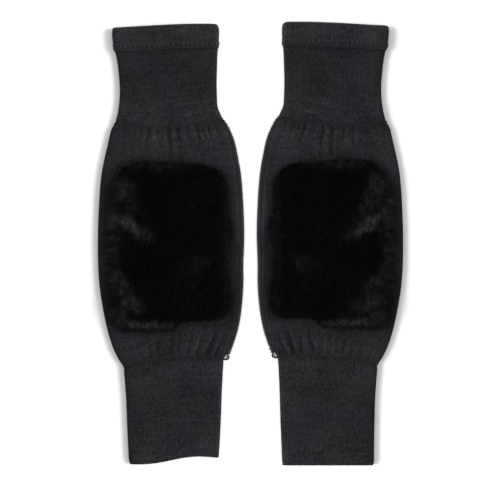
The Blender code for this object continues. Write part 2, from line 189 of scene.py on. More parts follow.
SIDE_NAMES = {-1: "left_", 1: "right_"}
lit_groups = {}
for side, prefix in SIDE_NAMES.items():
    half = TABLE_SIDE / 2
    corners = [(side * x, y, 0.0) for x, y in ((0.0, -half), (half, -half), (half, half), (0.0, half))]
    mesh = bpy.data.meshes.new(prefix + "table_half")
    mesh.from_pydata(corners, [], [(0, 1, 2, 3)[::side]])
    table_half = bpy.data.objects.new(prefix + "table_half", mesh)
    table_half.data.materials.append(table_paint)
    scene.collection.objects.link(table_half)
    table_half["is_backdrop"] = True

    lit = lit_groups[side] = bpy.data.collections.new(prefix + "lit")
    lit.objects.link(table_half)
    sun_data = bpy.data.lights.new(prefix + "sun", "SUN")
    sun_data.energy = SUN_STRENGTH
    sun_data.angle = math.radians(SUN_WIDTH)
    sun = bpy.data.objects.new(prefix + "sun", sun_data)
    sun.rotation_euler = (0.0, -side * math.radians(90 - SUN_ELEVATION), 0.0)
    sun.light_linking.receiver_collection = sun.light_linking.blocker_collection = lit
    scene.collection.objects.link(sun)
print("two suns stand", SUN_ELEVATION, "degrees over the table")

# %% [markdown]
# ## The pattern
# A knitter's pattern says how wide the tube is at each row. These tables say it for the
# tubes as they lie: each row is one line across, from the outer edge to the inner edge.
# Reach is the distance from the middle line between the warmers, along runs towards the
# thigh, and everything is in millimetres. A smooth curve runs through the rows.

# %% Cross lines of each tube
COLUMNS = ("outer_reach", "outer_along", "inner_reach", "inner_along",
           "dip", "skew", "height", "crown", "flange")
BAND = [
    (139.9, 219.4,  35.6, 223.4,    -0.9, 0.2,  6.6,  0.2,  0.0),
    (140.8, 218.1,  33.3, 222.0,    -0.9, 0.2,  8.6,  0.4,  0.0),
    (141.2, 212.0,  32.1, 216.3,    -1.0, 0.0,  9.2,  0.5,  0.0),
    (140.0, 201.4,  32.4, 205.6,    -0.9, 0.0,  9.2,  0.5,  0.0),
    (139.2, 196.1,  32.3, 200.4,    -0.8, 0.0,  8.4,  0.4,  0.0),
    (138.7, 195.0,  32.6, 199.3,    -0.8, 0.0,  7.4,  0.3,  0.0),
]
THIGH_CUFF = [
    (138.0, 194.7,  33.0, 199.0,    -0.8, 0.0,  6.2,  0.2,  0.0),
    (137.1, 190.8,  33.4, 195.0,    -0.4, 0.0,  6.8,  0.5,  0.0),
    (136.1, 185.6,  33.7, 189.7,     0.2, 0.0,  6.5,  0.5,  0.0),
    (134.5, 172.5,  34.1, 176.6,     1.4, 0.0,  6.4,  0.5,  0.0),
    (133.5, 158.7,  34.4, 162.8,     2.6, 0.0,  6.4,  0.5,  0.0),
    (133.8, 146.5,  34.1, 150.6,     3.8, 0.0,  6.4,  0.5,  0.0),
    (135.3, 134.2,  33.3, 138.8,     5.0, 0.0,  6.6,  0.6,  0.0),
    (137.0, 126.6,  30.4, 131.6,     5.6, 0.0,  7.1,  0.7,  0.0),
    (138.4, 121.7,  28.1, 126.8,     5.9, 0.0,  5.8,  0.3,  0.0),
]
KNEE_TUBE = [
    (138.9, 121.4,  27.3, 126.5,     5.9, 0.0,  5.8,  0.3,  1.4),
    (142.2, 115.9,  23.7, 121.0,     5.2, 0.0,  6.3,  0.6,  3.4),
    (143.7, 109.8,  20.3, 114.4,     4.4, 0.0,  6.4,  0.9,  3.8),
    (146.0,  99.6,  16.2, 103.6,     3.0, 0.0,  6.3,  1.1,  3.8),
    (149.3,  85.3,  12.9,  88.3,     1.3, 0.0,  6.2,  1.1,  3.8),
    (152.3,  69.0,   9.9,  71.0,     0.2, 0.0,  6.2,  1.1,  3.8),
    (154.4,  44.5,   7.8,  46.5,     0.0, 0.0,  6.2,  1.1,  3.8),
    (155.8,   7.8,   6.4,   9.8,     0.0, 0.0,  6.2,  1.1,  3.8),
    (155.5, -24.9,   7.3, -21.8,     0.0, 0.0,  6.2,  1.1,  3.8),
    (153.5, -49.4,   7.4, -45.3,     0.0, 0.0,  6.2,  1.1,  3.8),
    (148.9, -75.9,   9.6, -70.8,    -1.0, 0.0,  6.2,  1.1,  3.8),
    (144.5, -94.2,  12.8, -88.1,    -2.6, 0.0,  6.3,  0.9,  3.8),
    (139.6, -108.5, 17.2, -102.4,   -4.0, 0.0,  6.4,  0.7,  4.2),
    (133.9, -119.7, 20.6, -111.6,   -4.9, 0.0,  6.3,  0.6,  5.2),
    (130.0, -125.2, 21.9, -116.4,   -5.2, 0.0,  5.8,  0.3,  4.6),
]
CALF_CUFF = {
    -1: [
        (129.2, -125.5, 27.5, -116.7,   -5.2, 0.0,  5.8,  0.3,  0.0),
        (129.2, -130.0, 27.7, -121.8,   -4.8, 0.0,  6.5,  0.5,  0.0),
        (128.6, -137.1, 28.2, -129.9,   -4.2, 0.0,  6.4,  0.5,  0.0),
        (127.0, -159.5, 29.3, -152.4,   -2.6, 0.2,  6.2,  0.5,  0.0),
        (126.0, -185.0, 30.2, -177.9,   -1.8, 0.8,  6.2,  0.5,  0.0),
        (124.9, -208.5, 31.4, -201.8,   -1.5, 1.6,  6.2,  0.5,  0.0),
        (123.9, -222.5, 32.4, -216.2,   -1.4, 2.0,  6.0,  0.4,  0.0),
        (122.7, -225.1, 33.0, -218.6,   -1.4, 2.0,  4.9,  0.2,  0.0),
    ],
    1: [
        (129.2, -125.5, 27.5, -116.7,   -5.2, 0.0,  5.8,  0.3,  0.0),
        (129.4, -130.0, 28.1, -122.0,   -4.8, 0.0,  6.5,  0.5,  0.0),
        (128.8, -138.5, 28.8, -131.0,   -4.0, 0.0,  6.4,  0.5,  0.0),
        (127.3, -161.0, 29.8, -155.0,   -2.4, 0.0,  6.2,  0.5,  0.0),
        (126.6, -187.0, 30.6, -183.0,   -1.2, 0.0,  6.2,  0.5,  0.0),
        (126.2, -211.0, 31.7, -209.5,   -0.4, 0.0,  6.2,  0.5,  0.0),
        (126.0, -225.6, 32.4, -225.3,    0.0, 0.0,  6.0,  0.4,  0.0),
        (124.8, -228.2, 33.0, -228.2,    0.0, 0.0,  4.9,  0.2,  0.0),
    ],
}
print("cross lines:", len(BAND), "for a band,", len(THIGH_CUFF), "for a thigh cuff,",
      len(KNEE_TUBE), "for a knee tube and", len(CALF_CUFF[1]), "for a calf cuff")

# %% Lines and points between the rows
SEAM_GAP = 0.3  # mm from the knee tube's edge to its seam allowances


def tube_length(rows):
    """Length of a tube halfway across."""
    return (rows[0][1] + rows[0][3] - rows[-1][1] - rows[-1][3]) / 2


def lines_at(rows, distances):
    """Cross lines at distances below the first row, one column array for each measure."""
    values = np.array(rows, float)
    places = (values[0, 1] + values[0, 3] - values[:, 1] - values[:, 3]) / 2
    last = len(rows) - 1
    before, after = np.maximum(np.arange(last + 1) - 1, 0), np.minimum(np.arange(last + 1) + 1, last)
    slopes = (values[after] - values[before]) / (places[after] - places[before])[:, None]
    low = np.clip(np.searchsorted(places, distances, side="right") - 1, 0, last - 1)
    span = (places[low + 1] - places[low])[:, None]
    s = (np.asarray(distances, float) - places[low])[:, None] / span
    r = 1 - s
    found = (values[low] * r * r * (1 + 2 * s) + slopes[low] * span * s * r * r
             + values[low + 1] * s * s * (3 - 2 * s) - slopes[low + 1] * span * s * s * r)
    return {name: found[:, i:i + 1] for i, name in enumerate(COLUMNS)}


def inside_flange(line):
    """The same lines, ending at the knee tube's own edge."""
    shorter = dict(line)
    shorter["inner_reach"] = line["inner_reach"] + line["flange"] + SEAM_GAP
    return shorter


def line_width(line):
    return line["outer_reach"] - line["inner_reach"]


def plan_points(line, t):
    """Reach and along at the shares t of the way across."""
    reach = line["outer_reach"] + (line["inner_reach"] - line["outer_reach"]) * t
    along = line["outer_along"] + (line["inner_along"] - line["outer_along"]) * t
    return reach, along - line["dip"] * np.sin(np.pi * t) - line["skew"] * np.sin(2 * np.pi * t)


print("knee tube", tube_length(KNEE_TUBE), "mm, thigh cuff", round(tube_length(THIGH_CUFF), 1), "mm")

# %% [markdown]
# ## Placing the pattern on the frame
# The frame is centred on its own box, so the pattern is slid along until its highest point
# meets the top of the right band. The right warmer also lies 2 mm further up the table.

# %% From pattern to table
RIGHT_SHIFT = 2.0  # mm
ACROSS = np.linspace(0, 1, 200)[None, :]
pattern_top = float(plan_points(lines_at(BAND, [0.0]), ACROSS)[1].max()) + RIGHT_SHIFT
FRAME_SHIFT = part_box("right_top_band")[1].y / MM - pattern_top
print("pattern slides", round(FRAME_SHIFT, 2), "mm along to meet the frame")


def to_table(side, reach, along, height):
    """Points on the table, in metres, of pattern points of the left (-1) or right (1) warmer."""
    reach, along, height = np.broadcast_arrays(reach, along, height)
    shift = FRAME_SHIFT + (RIGHT_SHIFT if side > 0 else 0.0)
    return np.stack([side * reach, along + shift, height], axis=-1) * MM


# %% [markdown]
# ## The form of a flattened tube
# A soft tube laid flat has a round fold at each edge, an almost level front and an
# underside that lies on the table. Inside it the front and the back all but touch.

# %% Front, underside and slit
FOLD_SHARE = 0.62  # share of the tube's height over which each fold is rounded
SLIT_FOLD = 2.4  # mm over which the slit closes at a fold
SLIT_LEAST = 0.5  # mm between front and back where they lie closest
SLIT_CROWN = 0.3  # share of the crown that opens the slit


def rounding(share):
    """Rise of a quarter circle."""
    return np.sqrt(1 - (1 - np.minimum(share, 1.0)) ** 2)


def edge_gap(line, t):
    """Distance from the nearer fold."""
    return np.minimum(t, 1 - t) * line_width(line)


def outer_height(line, t, face):
    """Height of the tube's front (face 1) or underside (face -1), before its crown."""
    half = line["height"] / 2
    return half + face * half * rounding(edge_gap(line, t) / (FOLD_SHARE * line["height"]))


def crown(line, t):
    return line["crown"] * np.sin(np.pi * t)


def front_height(line, t):
    return outer_height(line, t, 1) + crown(line, t)


def slit_height(line, t, wall, face):
    """Height of the hollow's upper (face 1) or lower (face -1) side."""
    half = line["height"] / 2
    rise = np.maximum(half - wall, SLIT_LEAST / 2) + (SLIT_CROWN * crown(line, t) if face > 0 else 0.0)
    return half + face * rise * rounding(edge_gap(line, t) / SLIT_FOLD)


middle = lines_at(THIGH_CUFF, [tube_length(THIGH_CUFF) / 2])
print("a thigh cuff lies", round(float(front_height(middle, 0.5).max()), 1), "mm high in its middle")

# %% [markdown]
# ## Knit as a closed shell
# Each tube becomes one closed mesh: rings down the outside and back up the inside. Points
# on the front are close enough to carry real ribs of knitting, called wales. A few measures
# travel with the mesh: how far round and how far along each point is in the knitting, how
# free it is to stand up, which is nothing where it lies on the table, and how much painted
# light or painted shade its colour gets.

# %% Points across, meshes and measures
WALE = 2.4  # mm from one column of stitches to the next
POINTS_PER_WALE = 4
FOLD_STEPS = 6
FOLD_REACH = 4.6  # mm from a fold in which its points are close together


def across_shares(width, step):
    """Shares across the front or the underside, close together on both folds."""
    angles = np.linspace(0, np.pi / 2, FOLD_STEPS + 1)[:-1]
    edge, fold = FOLD_REACH * (1 - np.cos(angles)) / width, FOLD_REACH / width
    even = np.linspace(fold, 1 - fold, max(2, round((width - 2 * FOLD_REACH) / step)) + 1)
    return np.concatenate([edge, even, 1 - edge[::-1]])


def mesh_object(name, points, faces, material=None):
    """A smooth-shaded mesh object from arrays of points and faces."""
    mesh = bpy.data.meshes.new(name)
    mesh.from_pydata(points.reshape(-1, 3).tolist(), [], faces)
    mesh.shade_smooth()
    mesh.validate()
    made = bpy.data.objects.new(name, mesh)
    scene.collection.objects.link(made)
    if material:
        made.data.materials.append(material)
    return made


def store(piece, name, values, kind="FLOAT"):
    """Store one value, or one vector, for each point of a piece."""
    attribute = piece.data.attributes.new(name, kind, "POINT")
    field = "vector" if kind == "FLOAT_VECTOR" else "value"
    attribute.data.foreach_set(field, np.asarray(values, np.float32).ravel())


def curve_through(pairs, at):
    """Value of a table of (place, value) pairs, straight between its rows."""
    return np.interp(at, *np.transpose(pairs))


print("a front 150 mm wide takes", across_shares(150.0, WALE / POINTS_PER_WALE).size, "points")

# %% Build one shell
UNDER_STEP = 5.0  # mm between points across the underside
INSIDE_RINGS = 5
END_RINGS = (0.0, 0.8, 2.0)  # mm from each end of the tube
FIRST_RING = 3.6  # mm from each end to the first of the even rings
REST, LOOSE = 0.8, 2.0  # mm up to which cloth rests, and from there until it is free
SWELL = 0.35  # mm that cloth rises and falls everywhere; only relief beyond that is painted lighter or darker


def knit_shell(name, side, rows, wall, ring_step, painted_lights, relief, trim):
    """A knitted tube's closed shell; relief(line, t, distance, left) raises its front."""
    length = tube_length(rows)
    seam = np.array(END_RINGS)
    even = np.linspace(FIRST_RING, length - FIRST_RING, round((length - 2 * FIRST_RING) / ring_step) + 1)
    outside = np.concatenate([seam, even, length - seam[::-1]])
    inside = np.linspace(length, 0.0, INSIDE_RINGS)
    line = trim(lines_at(rows, outside))
    width = float(line_width(line).max())
    front = across_shares(width, WALE / POINTS_PER_WALE)[None, :]
    under = across_shares(width, UNDER_STEP)[None, ::-1][:, 1:-1]
    distance = outside[:, None]

    lift = relief(line, front, distance, length - distance)
    outer = [to_table(side, *plan_points(line, front), front_height(line, front) + lift),
             to_table(side, *plan_points(line, under), outer_height(line, under, -1))]
    line = trim(lines_at(rows, inside))
    slit = dict(line, outer_reach=line["outer_reach"] - wall, inner_reach=line["inner_reach"] + wall)
    inner = [to_table(side, *plan_points(slit, t), slit_height(slit, t, wall, face))
             for t, face in ((front, 1), (under, -1))]
    points = np.concatenate([np.concatenate(faces, axis=1) for faces in (outer, inner)], axis=0)

    rings, count = points.shape[:2]
    i, j = np.meshgrid(np.arange(rings), np.arange(count), indexing="ij")
    i2, j2 = (i + 1) % rings, (j + 1) % count
    quads = np.stack([i * count + j, i * count + j2, i2 * count + j2, i2 * count + j], axis=-1)
    piece = mesh_object(name, points, quads[..., ::side].reshape(-1, 4).tolist())

    around = np.broadcast_to(np.concatenate([front[0], 2 - under[0]]) * width, (rings, count))
    down = np.broadcast_to(np.concatenate([outside, inside])[:, None], (rings, count))
    free = np.clip((points[..., 2] / MM - REST) / LOOSE, 0, 1)
    free[len(outside):] = 0
    painted_light_down, painted_light_across, painted_light_raised = painted_lights
    share = np.concatenate([front[0], under[0]])
    painted_light = curve_through(painted_light_down, down) + curve_through(painted_light_across, share)
    # painted highlight where the front stands up beyond its swells, painted shade in its troughs
    painted_light[:len(outside), :front.size] += painted_light_raised * (lift - np.clip(lift, -SWELL, SWELL))
    for field, values in (("around", around), ("along", down), ("free", free), ("painted_light", painted_light)):
        store(piece, field, values)

    closing = np.where(j2 == 0, 2 * width, around[i, j2])
    corners = np.stack([np.stack([around[i, j], closing, closing, around[i2, j]], axis=-1),
                        np.stack([down[i, j], down[i, j2], down[i2, j2], down[i2, j]], axis=-1)], axis=-1)
    layer = piece.data.uv_layers.new(name="knit")
    layer.data.foreach_set("uv", corners[..., ::side, :].astype(np.float32).ravel())
    return piece


print("a shell has", len(END_RINGS), "close rings at each end and", INSIDE_RINGS, "rings inside")

# %% [markdown]
# ## Uneven cloth
# Knitwear never lies quite level. A soft noise gives every shell slow swells of a few
# tenths of a millimetre, and short tables place the creases that show.

# %% Tables of gathers and creases
#   place  slant  length depth width     (a ridge has a depth below 0)
UPPER_GATHERS = [
    (0.115, 2.0, 44.0, 0.7, 1.9),
    (0.190, 3.0, 34.0, 1.0, 1.6),
    (0.255, -1.0, 22.0, 0.7, 1.4),
    (0.322, -0.5, 42.0, 1.9, 1.8),
    (0.362, 0.0, 26.0, -0.6, 1.6),
    (0.404, 0.0, 32.0, 1.7, 1.6),
    (0.450, 0.5, 24.0, 0.6, 1.3),
    (0.502, -0.5, 62.0, 2.3, 2.2),
    (0.540, 0.0, 44.0, -0.9, 1.6),
    (0.584, -0.5, 48.0, 2.2, 1.8),
    (0.655, 3.0, 38.0, 1.2, 1.6),
    (0.705, 1.0, 30.0, -0.7, 1.6),
    (0.750, 1.0, 32.0, 2.0, 1.7),
    (0.800, 1.0, 24.0, 0.7, 1.5),
    (0.855, -1.5, 36.0, 1.2, 1.6),
    (0.915, 1.5, 42.0, 1.1, 1.8),
]
LOWER_GATHERS = [
    (0.110, -2.0, 22.0, 0.8, 1.8),
    (0.193, 0.0, 38.0, 1.2, 1.8),
    (0.245, 0.5, 26.0, -0.5, 1.5),
    (0.288, 0.5, 24.0, 1.4, 1.5),
    (0.354, 4.0, 38.0, 1.9, 1.9),
    (0.415, 2.0, 28.0, 0.7, 1.5),
    (0.476, 3.0, 36.0, 1.6, 1.7),
    (0.556, 1.0, 42.0, 1.0, 1.6),
    (0.633, 5.0, 42.0, 2.1, 1.9),
    (0.685, 4.0, 30.0, -0.8, 1.6),
    (0.734, 2.5, 38.0, 1.9, 1.7),
    (0.780, 3.5, 26.0, -0.8, 1.4),
    (0.820, 4.5, 46.0, 3.2, 2.2),
    (0.862, 4.5, 32.0, -1.8, 1.6),
    (0.905, 3.5, 34.0, 2.0, 1.7),
    (0.955, 2.0, 20.0, 0.8, 1.5),
]

#   reach  along  length  turn  depth  width
STRETCH = [
    (117.8, 148.4, 12.0, -14.0, -0.9, 1.5),
    (117.8, 145.4, 12.0, -14.0, 0.9, 1.4),
    (112.0, 138.0, 18.0, -8.0, 0.8, 1.5),
    (102.5, 122.4, 18.0, 10.0, -0.9, 1.5),
    (73.0, 140.2, 22.0, -14.0, -0.9, 1.6),
    (73.0, 136.8, 22.0, -14.0, 0.9, 1.5),
    (61.5, 131.4, 24.0, -16.0, -1.1, 1.6),
    (61.5, 128.0, 22.0, -16.0, 1.0, 1.4),
    (64.0, 124.6, 18.0, -13.0, -0.8, 1.4),
    (41.0, 141.0, 10.0, -35.0, 0.9, 1.4),
]
CROSS_CREASES = {
    -1: [
        (39.5, -91.5, 10.0, 12.0, 0.9, 0.9),
        (31.0, -79.5, 9.0, 8.0, 0.6, 0.8),
        (31.5, -83.0, 8.0, 6.0, 0.6, 0.8),
        (32.0, -96.0, 7.0, -25.0, 0.8, 0.9),
        (29.0, -101.0, 6.0, 20.0, 0.6, 0.8),
        (46.0, -97.0, 7.0, 20.0, 0.4, 0.9),
    ],
    1: [
        (38.0, -77.5, 9.0, -6.0, 0.6, 0.8),
        (40.0, -82.0, 8.0, -12.0, 0.6, 0.8),
        (43.0, -97.5, 8.0, 14.0, 0.8, 0.9),
        (33.0, -93.0, 7.0, -20.0, 0.6, 0.8),
        (60.0, -97.0, 5.0, 30.0, 0.9, 1.0),
    ],
}
print("gathers:", len(UPPER_GATHERS), "at the upper seam and", len(LOWER_GATHERS), "at the lower one")

# %% Noise, swells and creases
SWELL_SIZE, SWELL_LONGER = 22.0, 1.8  # mm across, and how many times that along


def fade(share):
    """1 at share 0, falling smoothly to 0 at share 1."""
    rest = 1 - np.clip(share, 0, 1)
    return rest * rest * (3 - 2 * rest)


def soft_noise(x, y, seed):
    """Smooth noise from -1 to 1 at every pair of x and y."""
    sample = np.vectorize(lambda u, v: noise.noise(Vector((u, v, seed))), otypes=[float])
    return sample(x, y)


def swells(reach, along, seed):
    """Slow uneven rise and fall of the cloth at plan points."""
    return SWELL * soft_noise(reach / SWELL_SIZE, along / (SWELL_LONGER * SWELL_SIZE), seed)


def turned(reach, along, centre_reach, centre_along, turn):
    """Distances of plan points along and across a line turned by so many degrees."""
    c, s = math.cos(math.radians(turn)), math.sin(math.radians(turn))
    reach, along = reach - centre_reach, along - centre_along
    return reach * c + along * s, along * c - reach * s


def creases(table, line, t):
    """Short straight wrinkles, each from a row of a table."""
    reach, along = plan_points(line, t)
    relief = 0.0
    for centre_reach, centre_along, length, turn, depth, breadth in table:
        down, across = turned(reach, along, centre_reach, centre_along, turn)
        relief = relief - depth * np.exp(-(across / breadth) ** 2 - (down / (length / 2)) ** 4)
    return relief


print("swells stay within", SWELL, "mm, and one is some", SWELL_SIZE, "mm across")

# %% Gathers and the relief of each tube
KNEE_SEED = {-1: 6.0, 1: 8.0}
GATHER_PUFF, GATHER_ZONE = 0.7, 41.0  # mm that the cloth between gathers rises, and how far along
GATHER_WANDER, WANDER_LENGTH = 1.7, 13.0  # mm that a gather strays, and over how many
GATHER_PATCHES, PATCH_LENGTH = 0.5, 8.0  # how unevenly deep a gather is, and over how many mm
#   share of its depth that a gather keeps at the seam, and mm from there until it has all of it
SEAM_HOLD = {"upper": (0.45, 5.0), "lower": (0.35, 9.0)}
GATHERS_APART = 60.0  # keeps the noise of one gather away from its neighbour's
PUCKERS, PUCKER, PUCKER_LENGTH = 38, 0.45, 20.0  # how many across, mm deep, mm long


def gather_relief(gathers, hold, line, t, distance, seed):
    """Troughs that run away from the seam that draws the cloth in."""
    relief = GATHER_PUFF * fade(distance / GATHER_ZONE) * np.sin(np.pi * t)
    at_seam, full = SEAM_HOLD[hold]
    held = at_seam + (1 - at_seam) * (1 - fade(distance / full))
    for place, slant, length, depth, breadth in gathers:
        stray = GATHER_WANDER * soft_noise(distance / WANDER_LENGTH, place * GATHERS_APART, seed)
        patches = 1 + GATHER_PATCHES * soft_noise(distance / PATCH_LENGTH, place * GATHERS_APART, seed + 40)
        offset = (t - place) * line_width(line) - slant * distance / length - stray
        trough = np.exp(-(offset / breadth) ** 2) * fade(distance / length)
        relief = relief - depth * held * patches * trough
    return relief


def fine_gathers(t, distance, seed):
    """The small puckers close to the seam, between the main troughs."""
    return PUCKER * soft_noise(t * PUCKERS, distance / PUCKER_LENGTH, seed) * fade(distance / PUCKER_LENGTH)


def held_on_edges(line, t, relief):
    """No relief on the folds themselves."""
    return relief * np.minimum(edge_gap(line, t) / line["height"], 1.0)


def cuff_relief(seed, lines=(), wrinkles=()):
    """Swells, wrinkles, and narrow lines across at (distance below the top, depth, breadth)."""
    def relief(line, t, distance, left):
        raised = held_on_edges(line, t, swells(*plan_points(line, t), seed) + creases(wrinkles, line, t))
        for place, depth, breadth in lines:
            raised = raised - depth * np.exp(-((distance - place) / breadth) ** 2)
        return raised
    return relief


def knee_relief(side):
    seed = KNEE_SEED[side]

    def relief(line, t, distance, left):
        raised = gather_relief(UPPER_GATHERS, "upper", line, t, distance, seed)
        raised = raised + gather_relief(LOWER_GATHERS, "lower", line, t, left, seed + 5)
        raised = raised + creases(CROSS_CREASES[side], line, t)
        raised = raised + fine_gathers(t, distance, seed) + fine_gathers(t, left, seed + 20)
        return held_on_edges(line, t, raised + swells(*plan_points(line, t), seed))
    return relief


middle = lines_at(KNEE_TUBE, [1.0])
raised = gather_relief(UPPER_GATHERS, "upper", middle, ACROSS, 1.0, KNEE_SEED[1])
print("1 mm below its upper seam the knee tube lies from", round(float(raised.min()), 1), "to",
      round(float(raised.max()), 1), "mm off its level front")

# %% [markdown]
# ## Wales by Geometry Nodes
# Stitches stack into columns, the wales, and each column stands up a little between two
# narrow grooves. The tree reads how far round each point is, folds that into a rounded
# ridge for each wale, and pushes the point out along its normal. A noise keeps hand and
# machine unevenness in it, and the free attribute keeps the underside flat.

# %% The knit relief tree
def new_tree(name, floats, integers=(), strings=()):
    """A Geometry Nodes tree with its named inputs; returns it and their sockets."""
    made = bpy.data.node_groups.new(name, "GeometryNodeTree")
    labels = {"Geometry": ["Geometry"], "Float": floats, "Int": integers, "String": strings,
              "Material": ["Material"]}
    for kind, group in labels.items():
        for label in group:
            made.interface.new_socket(name=label, in_out="INPUT", socket_type="NodeSocket" + kind)
    made.interface.new_socket(name="Geometry", in_out="OUTPUT", socket_type="NodeSocketGeometry")
    return made, made.nodes.new("NodeGroupInput").outputs


def end_tree(made, given, geometry):
    """Close a tree with Realize Instances and Set Material."""
    real = add_node(made, "RealizeInstances", {"Geometry": geometry})
    painted = add_node(made, "SetMaterial", {"Geometry": real, "Material": given["Material"]})
    add_node(made, "GroupOutput", {0: painted})
    print("the tree", made.name, "has", len(made.nodes), "nodes")
    return made


def run_tree(piece, made, values):
    """Run a tree on a piece as a modifier and keep the result as its plain mesh."""
    modifier = piece.modifiers.new(made.name, "NODES")
    modifier.node_group = made
    for item in made.interface.items_tree:
        if item.in_out == "INPUT" and item.name in values:
            modifier[item.identifier] = values[item.name]
    graph = bpy.context.evaluated_depsgraph_get()
    mesh = bpy.data.meshes.new_from_object(piece.evaluated_get(graph), preserve_all_data_layers=True,
                                           depsgraph=graph)
    piece.modifiers.clear()
    piece.data = mesh
    mesh.name = piece.name
    return piece


def attribute_of(tree, name, kind="FLOAT"):
    return add_node(tree, "InputNamedAttribute", {"Name": name}, data_type=kind)


def random_value(tree, low, high, seed):
    return add_node(tree, "RandomValue", {2: low, 3: high, "Seed": seed}).outputs[1]


WALE_NARROW = 2.2  # power; a higher one makes the grooves between wales narrower
WALE_TOP = 0.62  # share of the ridge height that a wale stands above the smooth cloth
WALE_GRAIN = 260.0  # scale of the noise that makes wales uneven

tree, given = new_tree("knit_relief", ["Wale width", "Ridge height", "Unevenness"])
wales = math_node(tree, "DIVIDE", attribute_of(tree, "around"), given["Wale width"])
groove = math_node(tree, "MULTIPLY_ADD", math_node(tree, "FRACT", wales), 2.0, -1.0)
groove = math_node(tree, "POWER", math_node(tree, "ABSOLUTE", groove), WALE_NARROW)
grain = add_node(tree, "TexNoise", {"Scale": WALE_GRAIN, "Detail": 1.0})
uneven = product(tree, math_node(tree, "SUBTRACT", grain, 0.5), given["Unevenness"])
ridge = math_node(tree, "ADD", math_node(tree, "SUBTRACT", WALE_TOP, groove), uneven)
rise = product(tree, ridge, given["Ridge height"], attribute_of(tree, "free"))
push = scaled(tree, add_node(tree, "InputNormal"), rise)
moved = add_node(tree, "SetPosition", {"Geometry": given["Geometry"], "Offset": push})
knit_tree = end_tree(tree, given, moved)

# %% [markdown]
# ## Charcoal marl wool
# The yarn is a soft wool blend spun from near-black and grey fibres, knitted in plain
# stockinette. Close up each stitch is a small V; from a step away the eye sees a dark,
# matt, softly speckled cloth with a faint bloom where loose fibres catch the light. The V
# is a bump pattern read from the knitting's own coordinates, stretched specks make the
# marl, and the grooves between the wales are painted darker, a painted shade. The real
# stitch is nearer 1.6 mm wide; it is drawn at 2.4 mm so that it shows.

# %% Knit materials
COURSE = 1.9  # mm from one row of stitches to the next


def object_place(tree):
    return add_node(tree, "TexCoord").outputs["Object"]


def noise_of(tree, vector, scale, detail=1.0):
    return add_node(tree, "TexNoise", {"Vector": vector, "Scale": scale, "Detail": detail})


def stretched_noise(tree, vector, scale, detail=2.0):
    """A noise from 0 to 1, stretched by a three-way scale."""
    stretched = add_node(tree, "Mapping", {"Vector": vector, "Scale": scale})
    return noise_of(tree, stretched, 1.0, detail)


def ranged(tree, value, low, high, to_low=0.0, to_high=1.0):
    """A value moved from one range to another and held at its ends."""
    return add_node(tree, "MapRange", {"Value": value, "From Min": low, "From Max": high,
                                                 "To Min": to_low, "To Max": to_high})


def blended(tree, factor, first, second):
    """A colour between two, each a hex string or a socket."""
    first, second = (linear(each) if isinstance(each, str) else each for each in (first, second))
    return add_node(tree, "Mix", {"Factor": factor, 6: first, 7: second},
                    data_type="RGBA").outputs[2]


def stored(tree, *names):
    """Attributes of the mesh, as the material reads them."""
    return [add_node(tree, "Attribute", attribute_name=name).outputs["Fac"] for name in names]


def knit_material(name, dark, light, grey):
    """Stockinette in a marl yarn, from its dark fibres and two kinds of light ones."""
    made, tree = new_material(name)
    uv = add_node(tree, "UVMap", uv_map="knit").outputs[0]
    split = add_node(tree, "SeparateXYZ", {0: uv}).outputs
    place = math_node(tree, "FRACT", math_node(tree, "DIVIDE", split[0], WALE))
    side_on = math_node(tree, "ABSOLUTE", math_node(tree, "SUBTRACT", place, 0.5))
    slanted = mixed(tree, (side_on, 1.3), (split[1], 1 / COURSE))
    stitch = math_node(tree, "SINE", product(tree, slanted, 2 * math.pi))
    column = math_node(tree, "COSINE", product(tree, side_on, 2 * math.pi))
    loops = mixed(tree, (stitch, 0.5), (column, 0.5))

    spot = object_place(tree)
    specks, slubs, patches = (stretched_noise(tree, spot, (across, down, across))
                              for across, down in ((1100.0, 560.0), (460.0, 260.0), (45.0, 32.0)))
    rows = stretched_noise(tree, uv, (0.02, 0.45, 1.0), 1.0)
    # the loops' share paints the grooves between the wales darker, a painted shade
    marl = mixed(tree, (loops, 0.07), (specks, 0.76), (slubs, 0.72), (patches, 0.5), (rows, 0.35))
    hue = ranged(tree, stretched_noise(tree, spot, (26.0, 18.0, 26.0), 0.0), 0.42, 0.58)
    colour = blended(tree, ranged(tree, marl, 0.90, 1.46), dark, blended(tree, hue, light, grey))
    height = mixed(tree, (loops, 1.0), (noise_of(tree, spot, 2600.0), 0.7), (slubs, 1.2))
    bump = add_node(tree, "Bump", {"Height": height, "Strength": 0.65, "Distance": 0.0003})
    # painted light and painted shade: the tube's painted light makes the wool lighter or darker, and the
    # painted shade round the pads darkens it
    painted_light, pad_shade = stored(tree, "painted_light", "pad_shade")
    light_left = math_node(tree, "SUBTRACT", math_node(tree, "ADD", painted_light, 1.0), pad_shade)
    return end_material(made, scaled(tree, colour, light_left), 0.92, 0.1, {
        "Sheen Weight": 0.08, "Sheen Roughness": 0.45, "Normal": bump})


# One marl wool in four copies, each painted lighter or darker for the light its part catches; the seam edge
# and the band, which catch the most, are painted lightest.
CUFF_WOOL = knit_material("charcoal_marl_cuff_wool", "#09090c", "#28262c", "#272729")
BAND_WOOL = knit_material("charcoal_marl_band_wool", "#0f0e12", "#302e35", "#2f2f31")
KNEE_WOOL = knit_material("charcoal_marl_knee_wool", "#0b0b0e", "#2c2a30", "#2b2b2d")
SEAM_WOOL = knit_material("charcoal_marl_seam_wool", "#131217", "#36343a", "#353537")
print("marl wool in four shades")
